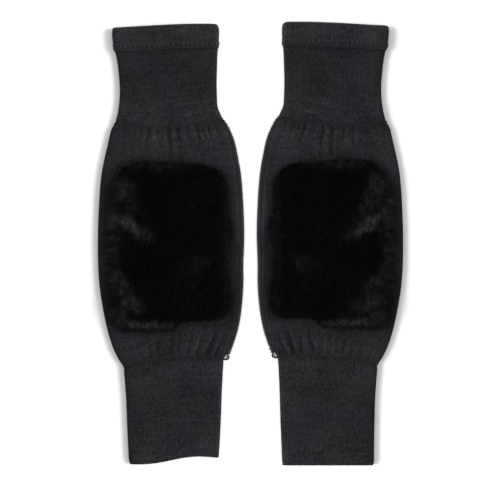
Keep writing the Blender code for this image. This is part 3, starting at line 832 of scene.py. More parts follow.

# %% [markdown]
# ## Cuffs, bands and knee tubes
# Every tube uses the same shell and the same tree. What differs is the wall, the spacing
# of the rings, and how much the cloth is drawn in. Light and shade are painted into the
# knit: where a seam draws the cloth into a dip it is painted darker, and where it stands up
# beyond a seam it is painted lighter. Two tables for each tube give that painted light and
# shade, down the tube and across it. Where the thigh cuff is pulled into flat slanting
# creases, a third measure paints what stands up lighter and the troughs darker, a painted
# highlight and a painted shade.

# %% Knit all the tubes
#     (mm below the tube's first row, more or less painted light), (share across, more or less
#     painted light), more painted light for each mm that the cloth stands up beyond its swells
EVEN = [(0, 0.0), (1, 0.0)]
PAINTED_LIGHTS = {
    "band": ([(0, 0.0), (10.5, -0.03), (14.5, -0.10), (18, -0.18), (21, -0.28), (23, -0.34),
              (23.7, -0.10), (24.3, -0.10)], EVEN, 0.0),
    "thigh": ([(0, -0.30), (2.5, -0.20), (4.5, -0.13), (45, -0.11), (48.5, 0.02), (52, 0.13), (60, 0.17),
               (67, 0.23), (69.5, 0.12), (71.3, -0.06), (72.6, -0.16)],
              [(0, 0.06), (0.25, 0.06), (0.38, -0.03), (0.80, -0.03), (0.90, 0.08), (0.97, 0.20),
               (1, 0.20)], 0.65),
    "knee": ([(0, -0.15), (4, -0.19), (7, -0.10), (9.5, 0.07), (12, 0.16), (16, 0.15), (20, 0.04),
              (26, -0.05), (33, -0.06), (38, 0.0), (214, 0.0), (219, -0.16), (224, -0.14), (229, -0.06),
              (233, 0.0), (236, -0.03), (239, -0.18), (242, -0.21), (244.8, -0.16)], EVEN, 0.0),
    "calf": ([(0, -0.16), (2, -0.12), (4, 0.0), (8, 0.20), (20, 0.24), (26, 0.09), (31, 0.0), (80, 0.0),
              (86, 0.12), (92, 0.25), (100, 0.32)],
             [(0, -0.13), (0.05, -0.13), (0.12, -0.04), (0.20, 0.04), (0.30, 0.07), (0.42, -0.02),
              (0.55, -0.08), (0.60, 0.0), (0.78, 0.02), (0.86, 0.10), (0.93, 0.22), (1, 0.20)], 0.0),
}
RIDGE = 0.22  # mm, how far a wale stands out
UNEVEN_WALES = 0.9
#   mm above the edge, depth and breadth of the line drawn in by the stitches
BAND_LINE, HEM_LINE = (2.6, 0.5, 0.7), (3.0, 0.45, 0.8)
groups = {side: {} for side in SIDE_NAMES}


def hand_over(side, part, piece, slot, node=None):
    """Hide the solid whose place a piece takes, hang the piece on the root body, keep it in its warmer's
    group and link it to its side's sun; slot is not used.
    """
    if node:
        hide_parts(SIDE_NAMES[side] + node)
    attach(piece, "root")
    groups[side][part] = piece
    lit_groups[side].objects.link(piece)


def whole_line(line):
    return line


def tubes_of(side):
    """Rows of each tube, from the thigh down."""
    return {"band": BAND, "thigh": THIGH_CUFF, "knee": KNEE_TUBE, "calf": CALF_CUFF[side]}


for side, prefix in SIDE_NAMES.items():
    tubes = tubes_of(side)
    band_line = (tube_length(BAND) - BAND_LINE[0], *BAND_LINE[1:])
    hem_line = (tube_length(CALF_CUFF[side]) - HEM_LINE[0], *HEM_LINE[1:])
    #   part, wall, ring step, relief, trim, material, slot, node
    plan = [
        ("band", 4.0, 1.2, cuff_relief(1.0 + side, [band_line]), whole_line,
         BAND_WOOL, "band_knit", "top_band"),
        ("thigh", 2.3, 1.2, cuff_relief(4.0 + side, wrinkles=STRETCH), whole_line,
         CUFF_WOOL, "cuff_knit", "thigh_cuff"),
        ("knee", 2.6, 2.4, knee_relief(side), inside_flange, KNEE_WOOL, "knee_knit", "knee_tube"),
        ("calf", 2.3, 1.9, cuff_relief(9.0 + side, [hem_line]), whole_line,
         CUFF_WOOL, "cuff_knit", "calf_cuff"),
    ]
    for part, wall, step, relief, trim, material, slot, node in plan:
        piece = knit_shell(prefix + part + "_knit", side, tubes[part], wall, step, PAINTED_LIGHTS[part], relief, trim)
        run_tree(piece, knit_tree, {"Wale width": WALE, "Ridge height": RIDGE * MM,
                                    "Unevenness": UNEVEN_WALES, "Material": material})
        hand_over(side, part, piece, slot, node)


def triangles(piece):
    """How many triangles a piece has."""
    return sum(len(face.vertices) - 2 for face in piece.data.polygons)


print({piece.name: triangles(piece) for group in groups.values() for piece in group.values()})

# %% [markdown]
# ## Stitches by Geometry Nodes
# A stitch line is one short piece of yarn repeated along a path. The tree resamples the
# path at the stitch spacing and stands one grain-shaped stitch on each place, turned to
# the path and to the direction in which the cloth faces. A small slant turns a plain row
# into the leaning stitches of a linked seam, and two rows of opposite slant into a chain.

# %% The stitch tree
def facing(tree, slant):
    """Rotation that turns X along the path and Z the way the cloth faces, then slants it."""
    along = add_node(tree, "InputTangent")
    first = add_node(tree, "AlignRotationToVector", {"Vector": along}, axis="X")
    second = add_node(tree, "AlignRotationToVector",
                      {"Rotation": first, "Vector": attribute_of(tree, "out", "FLOAT_VECTOR")},
                      axis="Z", pivot_axis="X")
    turn = add_node(tree, "CombineXYZ", {2: slant})
    return add_node(tree, "RotateRotation", {"Rotation": second, "Rotate By": turn},
                    rotation_space="LOCAL")


def row_of(tree, given, form, slant, scale):
    """The form at every spacing along the path, standing on the cloth."""
    curve = add_node(tree, "MeshToCurve", {"Mesh": given["Geometry"]})
    places = add_node(tree, "ResampleCurve", {"Curve": curve, "Length": given["Spacing"]},
                      mode="LENGTH")
    return add_node(tree, "InstanceOnPoints", {
        "Points": places, "Instance": form, "Rotation": facing(tree, slant), "Scale": scale})


STITCH_LEAN = (-0.12, 0.12)  # radians that single stitches lean from the row's slant
STITCH_FAT = (0.85, 1.15)  # least and most share of the thickness

tree, given = new_tree("stitch_row", ["Spacing", "Stitch length", "Thickness", "Slant"], ["Seed"])
grain = add_node(tree, "MeshUVSphere", {"Segments": 8, "Rings": 5, "Radius": 0.5})
smooth = add_node(tree, "SetShadeSmooth", {"Geometry": grain})
lean = math_node(tree, "ADD", random_value(tree, *STITCH_LEAN, given["Seed"]), given["Slant"])
fat = product(tree, random_value(tree, *STITCH_FAT, given["Seed"]), given["Thickness"])
size = add_node(tree, "CombineXYZ", {0: given["Stitch length"], 1: fat, 2: fat})
stitch_tree = end_tree(tree, given, row_of(tree, given, smooth, lean, size))

# %% [markdown]
# ## Sewing yarn
# Linking yarn is the garment's own two-ply wool, so it differs from the cloth only in its
# twist. The overlock thread is textured nylon, a little lighter and less matt than wool.

# %% Yarn materials
def yarn_material(name, colour, roughness):
    """A twisted thread: fine bands of tone run round it."""
    made, tree = new_material(name)
    strands = noise_of(tree, object_place(tree), 1800.0)
    shade = scaled(tree, linear(colour)[:3], ranged(tree, strands, 0.3, 0.7, 0.6, 1.3))
    bump = add_node(tree, "Bump", {"Height": strands, "Strength": 0.5, "Distance": 0.0002})
    return end_material(made, shade, roughness, 0.15, {"Normal": bump})


LINKING_WOOL = yarn_material("two_ply_linking_wool", "#1e1d22", 0.9)
# The band's herringbone yarn is real, but its light colour is a painted highlight: it stands in for the
# band's lower lip catching the light.
EDGE_WOOL = yarn_material("band_edge_wool", "#353439", 0.9)
OVERLOCK_NYLON = yarn_material("textured_overlock_nylon", "#39383a", 0.7)
print("two wools and a nylon for the seams")

# %% [markdown]
# ## Linked seams, band stitching and cast-off edge
# The tubes are linked to each other stitch by stitch, which leaves a sunken seam with a row
# of slanting stitches. The turned band is held by a herringbone of yarn just above its lower
# edge. The calf hem ends in the chain of a cast-off edge. All of these run over the front and
# round both folds, and leave the flat underside bare.

# %% Lay the rows of stitches
#   spacing, length and thickness in mm
STITCHES = {
    "link": (1.9, 2.8, 1.3),
    "edge": (4.8, 3.6, 0.8),
    "chain": (2.4, 2.2, 0.9),
    "needle": (2.6, 2.3, 0.55),
    "looper": (2.6, 2.4, 0.6),
}
LINK_SLANT = 0.9
PATH_STEP = 1.6  # mm between a path's points
ROW_LIFT = 0.1  # mm from the cloth to a row of stitches
BAND_ROWS = [(3.4, 0.9), (5.6, -0.9)]  # mm above the band's edge, slant: together a herringbone
CHAIN_ROWS = [(0.0, 0.55), (-0.5, -0.55)]  # mm above the cloth, slant: together a chain
CHAIN_ABOVE = 0.4  # mm from the calf hem's edge


def path_object(name, points):
    """A mesh of edges through (n, 3) points."""
    mesh = bpy.data.meshes.new(name)
    mesh.from_pydata(points.tolist(), [(i, i + 1) for i in range(len(points) - 1)], [])
    made = bpy.data.objects.new(name, mesh)
    scene.collection.objects.link(made)
    return made


def stitch_row(kind, path, out, material, slant, seed):
    """Stitches along a path of (n, 3) points whose cloth faces along out."""
    row = path_object(kind, path)
    store(row, "out", out, "FLOAT_VECTOR")
    spacing, length, thickness = STITCHES[kind]
    return run_tree(row, stitch_tree, {
        "Spacing": spacing * MM, "Stitch length": length * MM, "Thickness": thickness * MM,
        "Slant": slant, "Seed": seed, "Material": material})


def front_path(side, line, lift):
    """Path over a tube's front from fold to fold, raised by lift; returns points and facings."""
    t = across_shares(float(line_width(line)[0, 0]), PATH_STEP)[None, :]
    points = to_table(side, *plan_points(line, t), front_height(line, t))[0]
    run = np.gradient(points, axis=0)
    out = np.stack([-run[:, 2], np.zeros(len(run)), run[:, 0]], axis=1) * -side
    out /= np.linalg.norm(out, axis=1)[:, None]
    return points + out * lift * MM, out


def join(name, made):
    """Join pieces into the first of them, under one name."""
    bpy.ops.object.select_all(action="DESELECT")
    for piece in made:
        piece.select_set(True)
    bpy.context.view_layer.objects.active = made[0]
    bpy.ops.object.join()
    made[0].name = made[0].data.name = name
    return made[0]


def between(rows, next_rows):
    """The cross line halfway between a tube's last row and the next tube's first."""
    first, second = lines_at(rows, [tube_length(rows)]), lines_at(next_rows, [0.0])
    return inside_flange({name: (first[name] + second[name]) / 2 for name in COLUMNS})


for side, prefix in SIDE_NAMES.items():
    calf = CALF_CUFF[side]
    links = [stitch_row("link", *front_path(side, line, ROW_LIFT), LINKING_WOOL, LINK_SLANT, seed)
             for seed, line in enumerate((between(THIGH_CUFF, KNEE_TUBE), between(KNEE_TUBE, calf)))]
    hand_over(side, "links", join(prefix + "seam_links", links), "seam_knit")

    rows = [stitch_row("edge", *front_path(side, lines_at(BAND, [tube_length(BAND) - above]), ROW_LIFT),
                       EDGE_WOOL, slant, 3) for above, slant in BAND_ROWS]
    hand_over(side, "band_stitch", join(prefix + "band_stitching", rows), "band_knit")

    line = lines_at(calf, [tube_length(calf) - CHAIN_ABOVE])
    chain = [stitch_row("chain", *front_path(side, line, lift), CUFF_WOOL, slant, 5)
             for lift, slant in CHAIN_ROWS]
    hand_over(side, "cast_off", join(prefix + "cast_off_chain", chain), "cuff_knit")
print("seam links of one warmer have", triangles(groups[-1]["links"]), "triangles")

# %% [markdown]
# ## The overlocked side seam
# The front and back of the knee tube are joined on the inner side by an overlock machine.
# Its seam allowances stand out as a narrow two-ply edge. A section swept down the knee tube
# makes both layers in one closed strip, and a noise lets the cut edge wander.

# %% The two-ply edge
FLANGE_HEIGHT = 4.6  # mm
FLANGE_START, FLANGE_SHORT = 0.5, 3.4  # mm that it starts below and ends above the linked seams
FLANGE_WAVE, WAVE_LENGTH = 0.22, 5.0  # mm that the cut edge wanders, and over how many
FLANGE_RINGS, THREAD_POINTS = 220, 200
FLANGE_OVERLAP = 0.3  # mm that it reaches beyond the knee tube's edge
#   share of the way out, share of the height
FLANGE_SECTION = [
    (0.00, 0.00), (0.55, 0.00), (0.86, 0.00), (0.97, 0.07), (1.00, 0.20), (0.98, 0.36),
    (0.90, 0.46), (0.90, 0.52), (0.98, 0.62), (1.00, 0.78), (0.95, 0.92), (0.84, 0.99),
    (0.55, 1.04), (0.20, 1.00), (0.03, 0.93), (0.00, 0.82),
]


def along_flange(below, above, count):
    """Distances down the knee tube, from below the allowances' start to above their end."""
    return np.linspace(FLANGE_START + below, tube_length(KNEE_TUBE) - FLANGE_SHORT - above, count)


for side, prefix in SIDE_NAMES.items():
    distances = along_flange(0.0, 0.0, FLANGE_RINGS)
    line = lines_at(KNEE_TUBE, distances)
    out_share, up_share = np.transpose(FLANGE_SECTION)
    wave = FLANGE_WAVE * soft_noise(distances / WAVE_LENGTH, 0.0, 30.0 + side)[:, None]
    reach = line["inner_reach"] + line["flange"] - (line["flange"] - FLANGE_OVERLAP + wave) * out_share
    points = to_table(side, reach, line["inner_along"], FLANGE_HEIGHT * up_share)
    rings, count = points.shape[:2]
    faces = [[i * count + j, i * count + (j + 1) % count,
              (i + 1) * count + (j + 1) % count, (i + 1) * count + j]
             for i in range(rings - 1) for j in range(count)]
    faces += [list(range(count))[::-1], [(rings - 1) * count + j for j in range(count)]]
    edge = mesh_object(prefix + "seam_edge", points, [face[::-side] for face in faces], SEAM_WOOL)
    hand_over(side, "seam", edge, "seam_knit", "side_seam")
print("seam edge has", triangles(edge), "triangles")

# %% [markdown]
# ## Overlock threads
# Threads cross the edge slantwise and wrap round it, a line of needle stitches holds it to
# the tube, and a short tail is left where the machine ran off at the lower end. One curved
# thread is drawn and stood at each stitch, which keeps their number easy to change.

# %% The overlock tree and its threads
def thread_round(tree, curve, thickness, sides):
    """A closed round thread along a curve."""
    profile = add_node(tree, "CurvePrimitiveCircle", {
        "Resolution": sides, "Radius": product(tree, thickness, 0.5)})
    return add_node(tree, "CurveToMesh", {
        "Curve": curve, "Profile Curve": profile, "Fill Caps": True})


#   metres along the seam, outwards and up: from the needle line over the edge and round its rim
OVERLOCK_BOW = {"Start": (0.0, 0.0, 0.0), "Start Handle": (0.0004, 0.0014, 0.0008),
                "End Handle": (0.0014, 0.0050, 0.0006), "End": (0.0012, 0.0040, -0.0024)}
THREAD_LEAN = (-0.14, 0.14)  # radians

tree, given = new_tree("overlock_threads", ["Spacing", "Thickness"], ["Seed"])
bow = add_node(tree, "CurvePrimitiveBezierSegment", {"Resolution": 9, **OVERLOCK_BOW})
reach_out = add_node(tree, "CombineXYZ", {0: 1.0, 1: attribute_of(tree, "breadth"), 2: 1.0})
overlock_tree = end_tree(tree, given, row_of(
    tree, given, thread_round(tree, bow, given["Thickness"], 6),
    random_value(tree, *THREAD_LEAN, given["Seed"]), reach_out))

tree, given = new_tree("loose_thread", ["Thickness"])
run = add_node(tree, "MeshToCurve", {"Mesh": given["Geometry"]})
run = add_node(tree, "CurveSplineType", {"Curve": run}, spline_type="CATMULL_ROM")
run = add_node(tree, "ResampleCurve", {"Curve": run, "Count": 40})
tail_tree = end_tree(tree, given, thread_round(tree, run, given["Thickness"], 8))

OVERLOCK_BREADTH = 3.8  # mm, the edge for which the thread's curve is drawn
OVERLOCK_THREAD = (2.6, 0.55)  # mm, spacing and thickness
OVERLOCK_ENDS = (0.6, 0.8)  # mm that the threads stay inside the edge's upper and lower end
NEEDLE_LINE = (0.15, 0.25)  # mm from the tube outwards, and above the edge
LOOPER_OUT = 0.1  # mm inside the edge's rim
LOOPER_SLANT = 0.2
#   reach  along  height of the two strands left where the machine ran off
TAILS = [
    [(24.4, -110.0, 3.4), (23.9, -112.6, 3.0), (22.7, -115.2, 2.0), (22.5, -117.5, 1.1),
     (24.0, -118.7, 0.9), (26.4, -118.7, 1.1), (28.4, -117.4, 2.6), (30.5, -116.6, 5.6)],
    [(24.8, -110.0, 3.6), (25.4, -112.6, 3.4), (26.7, -115.0, 3.6), (28.8, -116.4, 5.0)],
]
TAIL_THICKNESS = 1.7  # mm, a chain of three threads

for side, prefix in SIDE_NAMES.items():
    line = lines_at(KNEE_TUBE, along_flange(*OVERLOCK_ENDS, THREAD_POINTS))
    start, rim = line["inner_reach"] + line["flange"] - NEEDLE_LINE[0], line["inner_reach"] + LOOPER_OUT
    top = to_table(side, start, line["inner_along"], FLANGE_HEIGHT + NEEDLE_LINE[1])[::-side, 0]
    edge = to_table(side, rim, line["inner_along"], FLANGE_HEIGHT / 2)[::-side, 0]
    up = np.tile([0.0, 0.0, 1.0], (len(top), 1))
    outward = np.tile([-float(side), 0.0, 0.0], (len(top), 1))

    over = path_object("over", top)
    store(over, "out", up, "FLOAT_VECTOR")
    store(over, "breadth", line["flange"][::-side, 0] / OVERLOCK_BREADTH)
    run_tree(over, overlock_tree, {
        "Spacing": OVERLOCK_THREAD[0] * MM, "Thickness": OVERLOCK_THREAD[1] * MM, "Seed": 4,
        "Material": OVERLOCK_NYLON})
    needle = stitch_row("needle", top, up, OVERLOCK_NYLON, 0.0, 6)
    looper = stitch_row("looper", edge, outward, OVERLOCK_NYLON, LOOPER_SLANT, 7)
    tails = [run_tree(path_object("tail", to_table(side, *np.transpose(strand))), tail_tree,
                      {"Thickness": TAIL_THICKNESS * MM, "Material": LINKING_WOOL}) for strand in TAILS]
    threads = join(prefix + "overlock_threads", [over, needle, looper, *tails])
    hand_over(side, "overlock", threads, "seam_knit")
print("overlock threads have", triangles(groups[1]["overlock"]), "triangles")

# %% [markdown]
# ## The plush pad
# The pad is faux-fur plush: a backing with a dense, soft, black pile six to seven mm deep.
# The pile is combed towards the calf, parts where a hand has passed over it, and leans out
# over the knit at the pad's edges. The pad's outline is a rectangle with rounded corners,
# placed by its four corners and shaped by short tables along three of its sides.

# %% Plan of the pad
PAD_WIDTH, PAD_LENGTH = 119.0, 165.0
PAD_TOP_CORNER, PAD_LOWER_CORNER = 25.0, 14.0  # mm, radii
PAD_BULGE = 1.4  # mm that its long sides stand out halfway down
PAD_PILE, PAD_EDGE, PAD_ROLL = 6.5, 2.2, 7.0  # mm deep inside and at the edge, and mm between these
#   reach and along
PAD_CORNERS = {"outer_top": (140.4, 85.2), "inner_top": (21.4, 82.0),
               "outer_bottom": (140.0, -89.4), "inner_bottom": (20.4, -79.6)}
PAD_STEP = 2.0  # mm between the body's points
#   mm that the body stays inside each side of the pad's outline
INSETS = {"outer": 1.6, "inner": 2.5, "top": 4.0}
#   (share outwards, mm) that it stays inside the lower side; its outer half hangs down as a fringe
LOWER_EDGE = {
    -1: [(0.0, 5.2), (0.43, 5.2), (0.48, -2.2), (0.60, -1.6), (0.80, 0.0), (0.92, 0.8), (0.97, 3.0),
         (1.0, 5.0)],
    1: [(0.0, 4.2), (0.15, 4.8), (0.27, 6.6), (0.38, 5.6), (0.44, -1.4), (0.60, -1.2), (0.80, 0.2),
        (0.92, 1.0), (0.97, 3.0), (1.0, 4.5)],
}
#   (along, mm) that the inner side stands out further
INNER_EDGE = [(-76.0, 2.5), (-62.0, 2.2), (-50.0, 0.5), (-37.0, -1.3), (-6.0, -1.5), (3.0, 1.8),
              (12.0, 3.2), (20.0, 2.2), (28.0, 0.5), (36.0, -1.0), (60.0, -1.0)]
#   (share outwards, mm) that the upper side stands higher
TOP_EDGE = [(0.0, -0.6), (0.25, 0.0), (0.42, 0.8), (0.52, 2.2), (0.72, 2.6), (0.80, 1.6), (0.88, -0.6),
            (0.95, -3.5), (1.0, -6.5)]
BODY_SHARE = 0.48  # of the pile's depth that the body fills
STEEPER_OUTSIDE = 0.15  # more than that, at the outer edge
PAD_CLEAR = 0.9  # mm from the knee tube's level front to the backing


def corner_of(x, y):
    """Radius of the nearest corner, and how far into its square each point is."""
    radius = np.where(y > 0, PAD_TOP_CORNER, PAD_LOWER_CORNER)
    return radius, np.abs(x) - (PAD_WIDTH / 2 - radius), np.abs(y) - (PAD_LENGTH / 2 - radius)


def round_corners(x, y):
    """Move points of the pad's rectangle so that its corners become arcs."""
    radius, a, b = corner_of(x, y)
    a, b = np.maximum(a / radius, 0), np.maximum(b / radius, 0)
    corner = (a > 0) & (b > 0)
    new_x = PAD_WIDTH / 2 - radius + radius * a * np.sqrt(1 - b * b / 2)
    new_y = PAD_LENGTH / 2 - radius + radius * b * np.sqrt(1 - a * a / 2)
    return np.where(corner, np.copysign(new_x, x), x), np.where(corner, np.copysign(new_y, y), y)


def edge_of_pad(x, y):
    """Distance from the pad's outline, and the direction straight out of it."""
    radius, a, b = corner_of(x, y)
    in_corner = (a > 0) & (b > 0)
    distance = radius - np.where(in_corner, np.hypot(a, b), np.maximum(a, b))
    out_x = np.where(in_corner, a, (a > b) * 1.0) * np.sign(x)
    out_y = np.where(in_corner, b, (b >= a) * 1.0) * np.sign(y)
    size = np.maximum(np.hypot(out_x, out_y), 1e-6)
    return np.maximum(distance, 0), out_x / size, out_y / size


def pad_side(end, across, axis):
    """Reach (axis 0) or along (axis 1) of the pad's top or bottom at shares inwards."""
    return (PAD_CORNERS["outer_" + end][axis] * (1 - across)
            + PAD_CORNERS["inner_" + end][axis] * across)


def pad_plan(x, y):
    """Reach and along of points of the pad, x outwards and y towards the thigh."""
    across, down = 0.5 - x / PAD_WIDTH, 0.5 - y / PAD_LENGTH
    reach, along = (pad_side("top", across, axis) * (1 - down) + pad_side("bottom", across, axis) * down
                    for axis in (0, 1))
    return reach + PAD_BULGE * np.sin(np.pi * down) * x / (PAD_WIDTH / 2), along


def knee_front(reach, along):
    """Height of the knee tube's level front under plan points, found by halving."""
    low, high = np.zeros(reach.size), np.full(reach.size, tube_length(KNEE_TUBE))
    for _ in range(24):
        middle = (low + high) / 2
        line = inside_flange(lines_at(KNEE_TUBE, middle))
        t = (line["outer_reach"] - reach[:, None]) / line_width(line)
        above = plan_points(line, t)[1][:, 0] > along
        low, high = np.where(above, middle, low), np.where(above, high, middle)
    return front_height(line, t)[:, 0]


print("each pad is", PAD_WIDTH, "by", PAD_LENGTH, "mm")

# %% [markdown]
# ## Painted shade on the knit round the pads
# The knit round each pad is painted darker where the pad's shade falls on it: most of all
# beyond its outer side, less below it and beside its inner side. Each knee tube carries
# how much as an attribute.

# %% Paint shade on the knit round the pads
#   share of the light taken beside the pad, mm over which that falls away
PAD_SHADE_OUTER, PAD_SHADE_TOP_OUTER, PAD_SHADE_INNER, PAD_SHADE_BELOW = (0.50, 22.0), (0.06, 7.0), (0.17, 6.0), (0.42, 7.5)
PAD_SHADE_ENDS = (5.0, 4.0)  # mm over which it falls away above the pad and below it
PAD_SHADE_MIDDLE = 80.0  # reach, outside of which the outer side's share counts
PAD_SHADE_START = 1.0  # mm beyond the pad's outer side, up to which it is full
PAD_SHADE_UNEVEN, PAD_SHADE_PATCHES = 0.3, (12.0, 16.0)  # how patchy it is, and the patches' size in mm
PAD_SHADE_FROM = (64.0, 52.0)  # along: above the first less shade is painted, below the second it is full


def near(distance, breadth):
    """1 up to the pad's outline, falling away beyond it."""
    return np.exp(-(np.maximum(distance, 0) / breadth) ** 2)


def painted_pad_shade(side, reach, along):
    """Share of the light that the painted shade takes at plan points."""
    across = 1 - (reach - PAD_CORNERS["inner_top"][0]) / PAD_WIDTH
    below_top, below_bottom = (pad_side(end, across, 1) - along for end in ("top", "bottom"))
    beyond_outer = reach - PAD_CORNERS["outer_top"][0] - PAD_SHADE_START
    beyond_inner = PAD_CORNERS["inner_top"][0] - reach
    ends = near(-below_top, PAD_SHADE_ENDS[0]) * near(below_bottom, PAD_SHADE_ENDS[1])
    full = fade((along - PAD_SHADE_FROM[1]) / (PAD_SHADE_FROM[0] - PAD_SHADE_FROM[1]))

    def beside(pad_shade, distance):
        return pad_shade[0] * near(distance, pad_shade[1])

    outer = full * beside(PAD_SHADE_OUTER, beyond_outer) + (1 - full) * beside(PAD_SHADE_TOP_OUTER, beyond_outer)
    inner = beside(PAD_SHADE_INNER, beyond_inner) * (reach < PAD_SHADE_MIDDLE)
    below = beside(PAD_SHADE_BELOW, below_bottom) * (along < 0) * near(beyond_outer, PAD_SHADE_ENDS[0])
    pad_shade = np.maximum(outer * ends * (reach > PAD_SHADE_MIDDLE), np.maximum(inner * ends, below))
    patches = soft_noise(reach / PAD_SHADE_PATCHES[0], along / PAD_SHADE_PATCHES[1], 90.0 + side)
    return np.clip(pad_shade * (1 + PAD_SHADE_UNEVEN * patches), 0, 1)


for side in SIDE_NAMES:
    knee = groups[side]["knee"]
    place = np.array([vertex.co for vertex in knee.data.vertices]) / MM
    shift = FRAME_SHIFT + (RIGHT_SHIFT if side > 0 else 0.0)
    pad_shade = painted_pad_shade(side, side * place[:, 0], place[:, 1] - shift)
    store(knee, "pad_shade", pad_shade)
# the painted shade's largest share of the light
print("shed fibre takes up to", round(float(pad_shade.max()), 2), "of the light")

# %% [markdown]
# ## Partings in the pile
# Where the pile parts, the light reaches the sides of the fibres and they look lighter
# than the deep black around them; that sheen is painted into the fibres' colour as a painted
# highlight. The first table places the partings on each pad: where the middle lies, how long
# and wide it is, how far it is turned, and how strong it is. Its last rows paint the same
# highlight along the pad's own margins. At its lower outer side the pile hangs over the knit
# as a fringe, and the second table places the painted highlights of the light rows in that.

# %% Tables of the partings
#   reach  along  long  wide  turn   strength  step
# the last rows paint a highlight along the pad's own margins
MARGINS = [
    (82.0, 82.0, 150.0, 9.0, 0.0, 0.27, 0.0),
    (141.0, 8.0, 160.0, 14.0, 90.0, 0.30, 0.0),
    (24.0, 8.0, 170.0, 16.0, 90.0, 0.08, 0.0),
]
PARTINGS = {
    -1: [
        (124.0, 22.0, 46.0, 10.0, 31.0, 0.95, 1.0),
        (140.0, 22.0, 26.0, 9.0, -80.0, 0.85, 0.4),
        (131.0, 58.0, 28.0, 18.0, 80.0, 0.42, 0.0),
        (121.0, 39.0, 30.0, 12.0, 35.0, 0.16, 0.3),
        (132.0, -37.0, 32.0, 12.0, 60.0, 0.52, 0.3),
        (121.0, -59.0, 26.0, 14.0, 20.0, 0.50, 0.3),
        (56.0, -20.0, 32.0, 14.0, -25.0, 0.10, 0.5),
    ] + MARGINS,
    1: [
        (122.0, 21.0, 46.0, 12.0, 31.0, 0.95, 1.0),
        (138.0, 38.0, 30.0, 7.0, 60.0, 0.55, 0.3),
        (129.0, 58.0, 28.0, 20.0, 80.0, 0.42, 0.0),
        (121.0, 39.0, 34.0, 14.0, 35.0, 0.28, 0.3),
        (129.0, -37.0, 28.0, 12.0, 50.0, 0.50, 0.3),
        (122.0, -59.0, 30.0, 16.0, 20.0, 0.50, 0.3),
        (53.0, -20.0, 32.0, 16.0, -20.0, 0.14, 0.5),
    ] + MARGINS,
}
#     reach  along  long  wide   strength of the painted highlight in each of the fringe's light rows
FRINGE_ROWS = {
    -1: [(110.0, -84.2, 66.0, 9.0, 0.10), (116.5, -79.6, 20.0, 5.8, 0.80), (100.5, -79.9, 19.0, 6.2, 1.00),
         (84.6, -80.4, 16.0, 6.0, 0.55), (134.5, -75.0, 15.0, 20.0, 0.42)],
    1: [(107.0, -84.0, 74.0, 9.0, 0.10), (110.0, -79.2, 22.0, 6.0, 0.85), (95.0, -79.6, 16.0, 6.0, 0.85),
        (79.0, -80.4, 16.0, 6.0, 0.50), (128.0, -76.0, 16.0, 18.0, 0.42)],
}
print("partings:", len(PARTINGS[-1]), "on the left pad and", len(PARTINGS[1]), "on the right one")

# %% Painted sheen and step of the pile
#   mm outwards and along, how uneven, seed
PARTING_GRAIN, FRINGE_GRAIN = (4.5, 4.5, 1.5, 50.0), (2.4, 3.6, 1.6, 54.0)
LIGHTEST = 1.5  # painted sheen of the lightest tuft
GRAIN_LEVEL = 0.8  # share of a row's strength that its tufts have on average
PARTING_WANDER, WANDERS = 5.0, (11.0, 9.0)  # mm that a parting strays, and over how many each way


def parting_places(side, reach, along):
    """For each parting: how far plan points lie along and across it, and its last two measures."""
    reach = reach + PARTING_WANDER * soft_noise(reach / WANDERS[0], along / WANDERS[0], 70.0 + side)
    along = along + PARTING_WANDER * soft_noise(reach / WANDERS[1], along / WANDERS[1], 80.0 + side)
    for centre_reach, centre_along, length, width, turn, strength, step in PARTINGS[side]:
        u, v = turned(reach, along, centre_reach, centre_along, turn)
        yield u / (length / 2), v / (width / 2), strength, step


def ragged(side, reach, along, grain):
    """Uneven painted sheen from tuft to tuft within a row."""
    across, down, uneven, seed = grain
    return GRAIN_LEVEL + uneven * soft_noise(reach / across, along / down, seed + side)


def painted_pile_sheen(side, reach, along):
    """How much painted sheen the pile has at plan points, from 0 in the deep black to LIGHTEST."""
    tone, fringe = np.zeros(reach.shape), np.zeros(reach.shape)
    for u, v, strength, _ in parting_places(side, reach, along):
        tone = np.maximum(tone, strength * np.exp(-(u * u + v * v) ** 1.3))
    for centre_reach, centre_along, length, width, strength in FRINGE_ROWS[side]:
        u, v = (reach - centre_reach) / (length / 2), (along - centre_along) / (width / 2)
        fringe = np.maximum(fringe, strength * np.exp(-u ** 6 - v ** 4))
    return np.clip(np.maximum(tone * ragged(side, reach, along, PARTING_GRAIN),
                              fringe * ragged(side, reach, along, FRINGE_GRAIN)), 0, LIGHTEST)


def parting_step(side, reach, along):
    """How the pile above a parting lies over the pile below it."""
    return sum(step * v * np.exp(-(u * u + v * v * 0.6))
               for u, v, _, step in parting_places(side, reach, along))


first = np.array(PARTINGS[-1][0][:2])[:, None]
print("the first parting's middle has a tone of", round(float(painted_pile_sheen(-1, *first)[0]), 2))

# %% [markdown]
# ## The body under the fibres
# Under the fibres lies a plain bumpy body, so that no gap shows through. Its points carry
# what the fibres need: which way they lean, how long they are, how much painted sheen they
# carry and where they may grow.

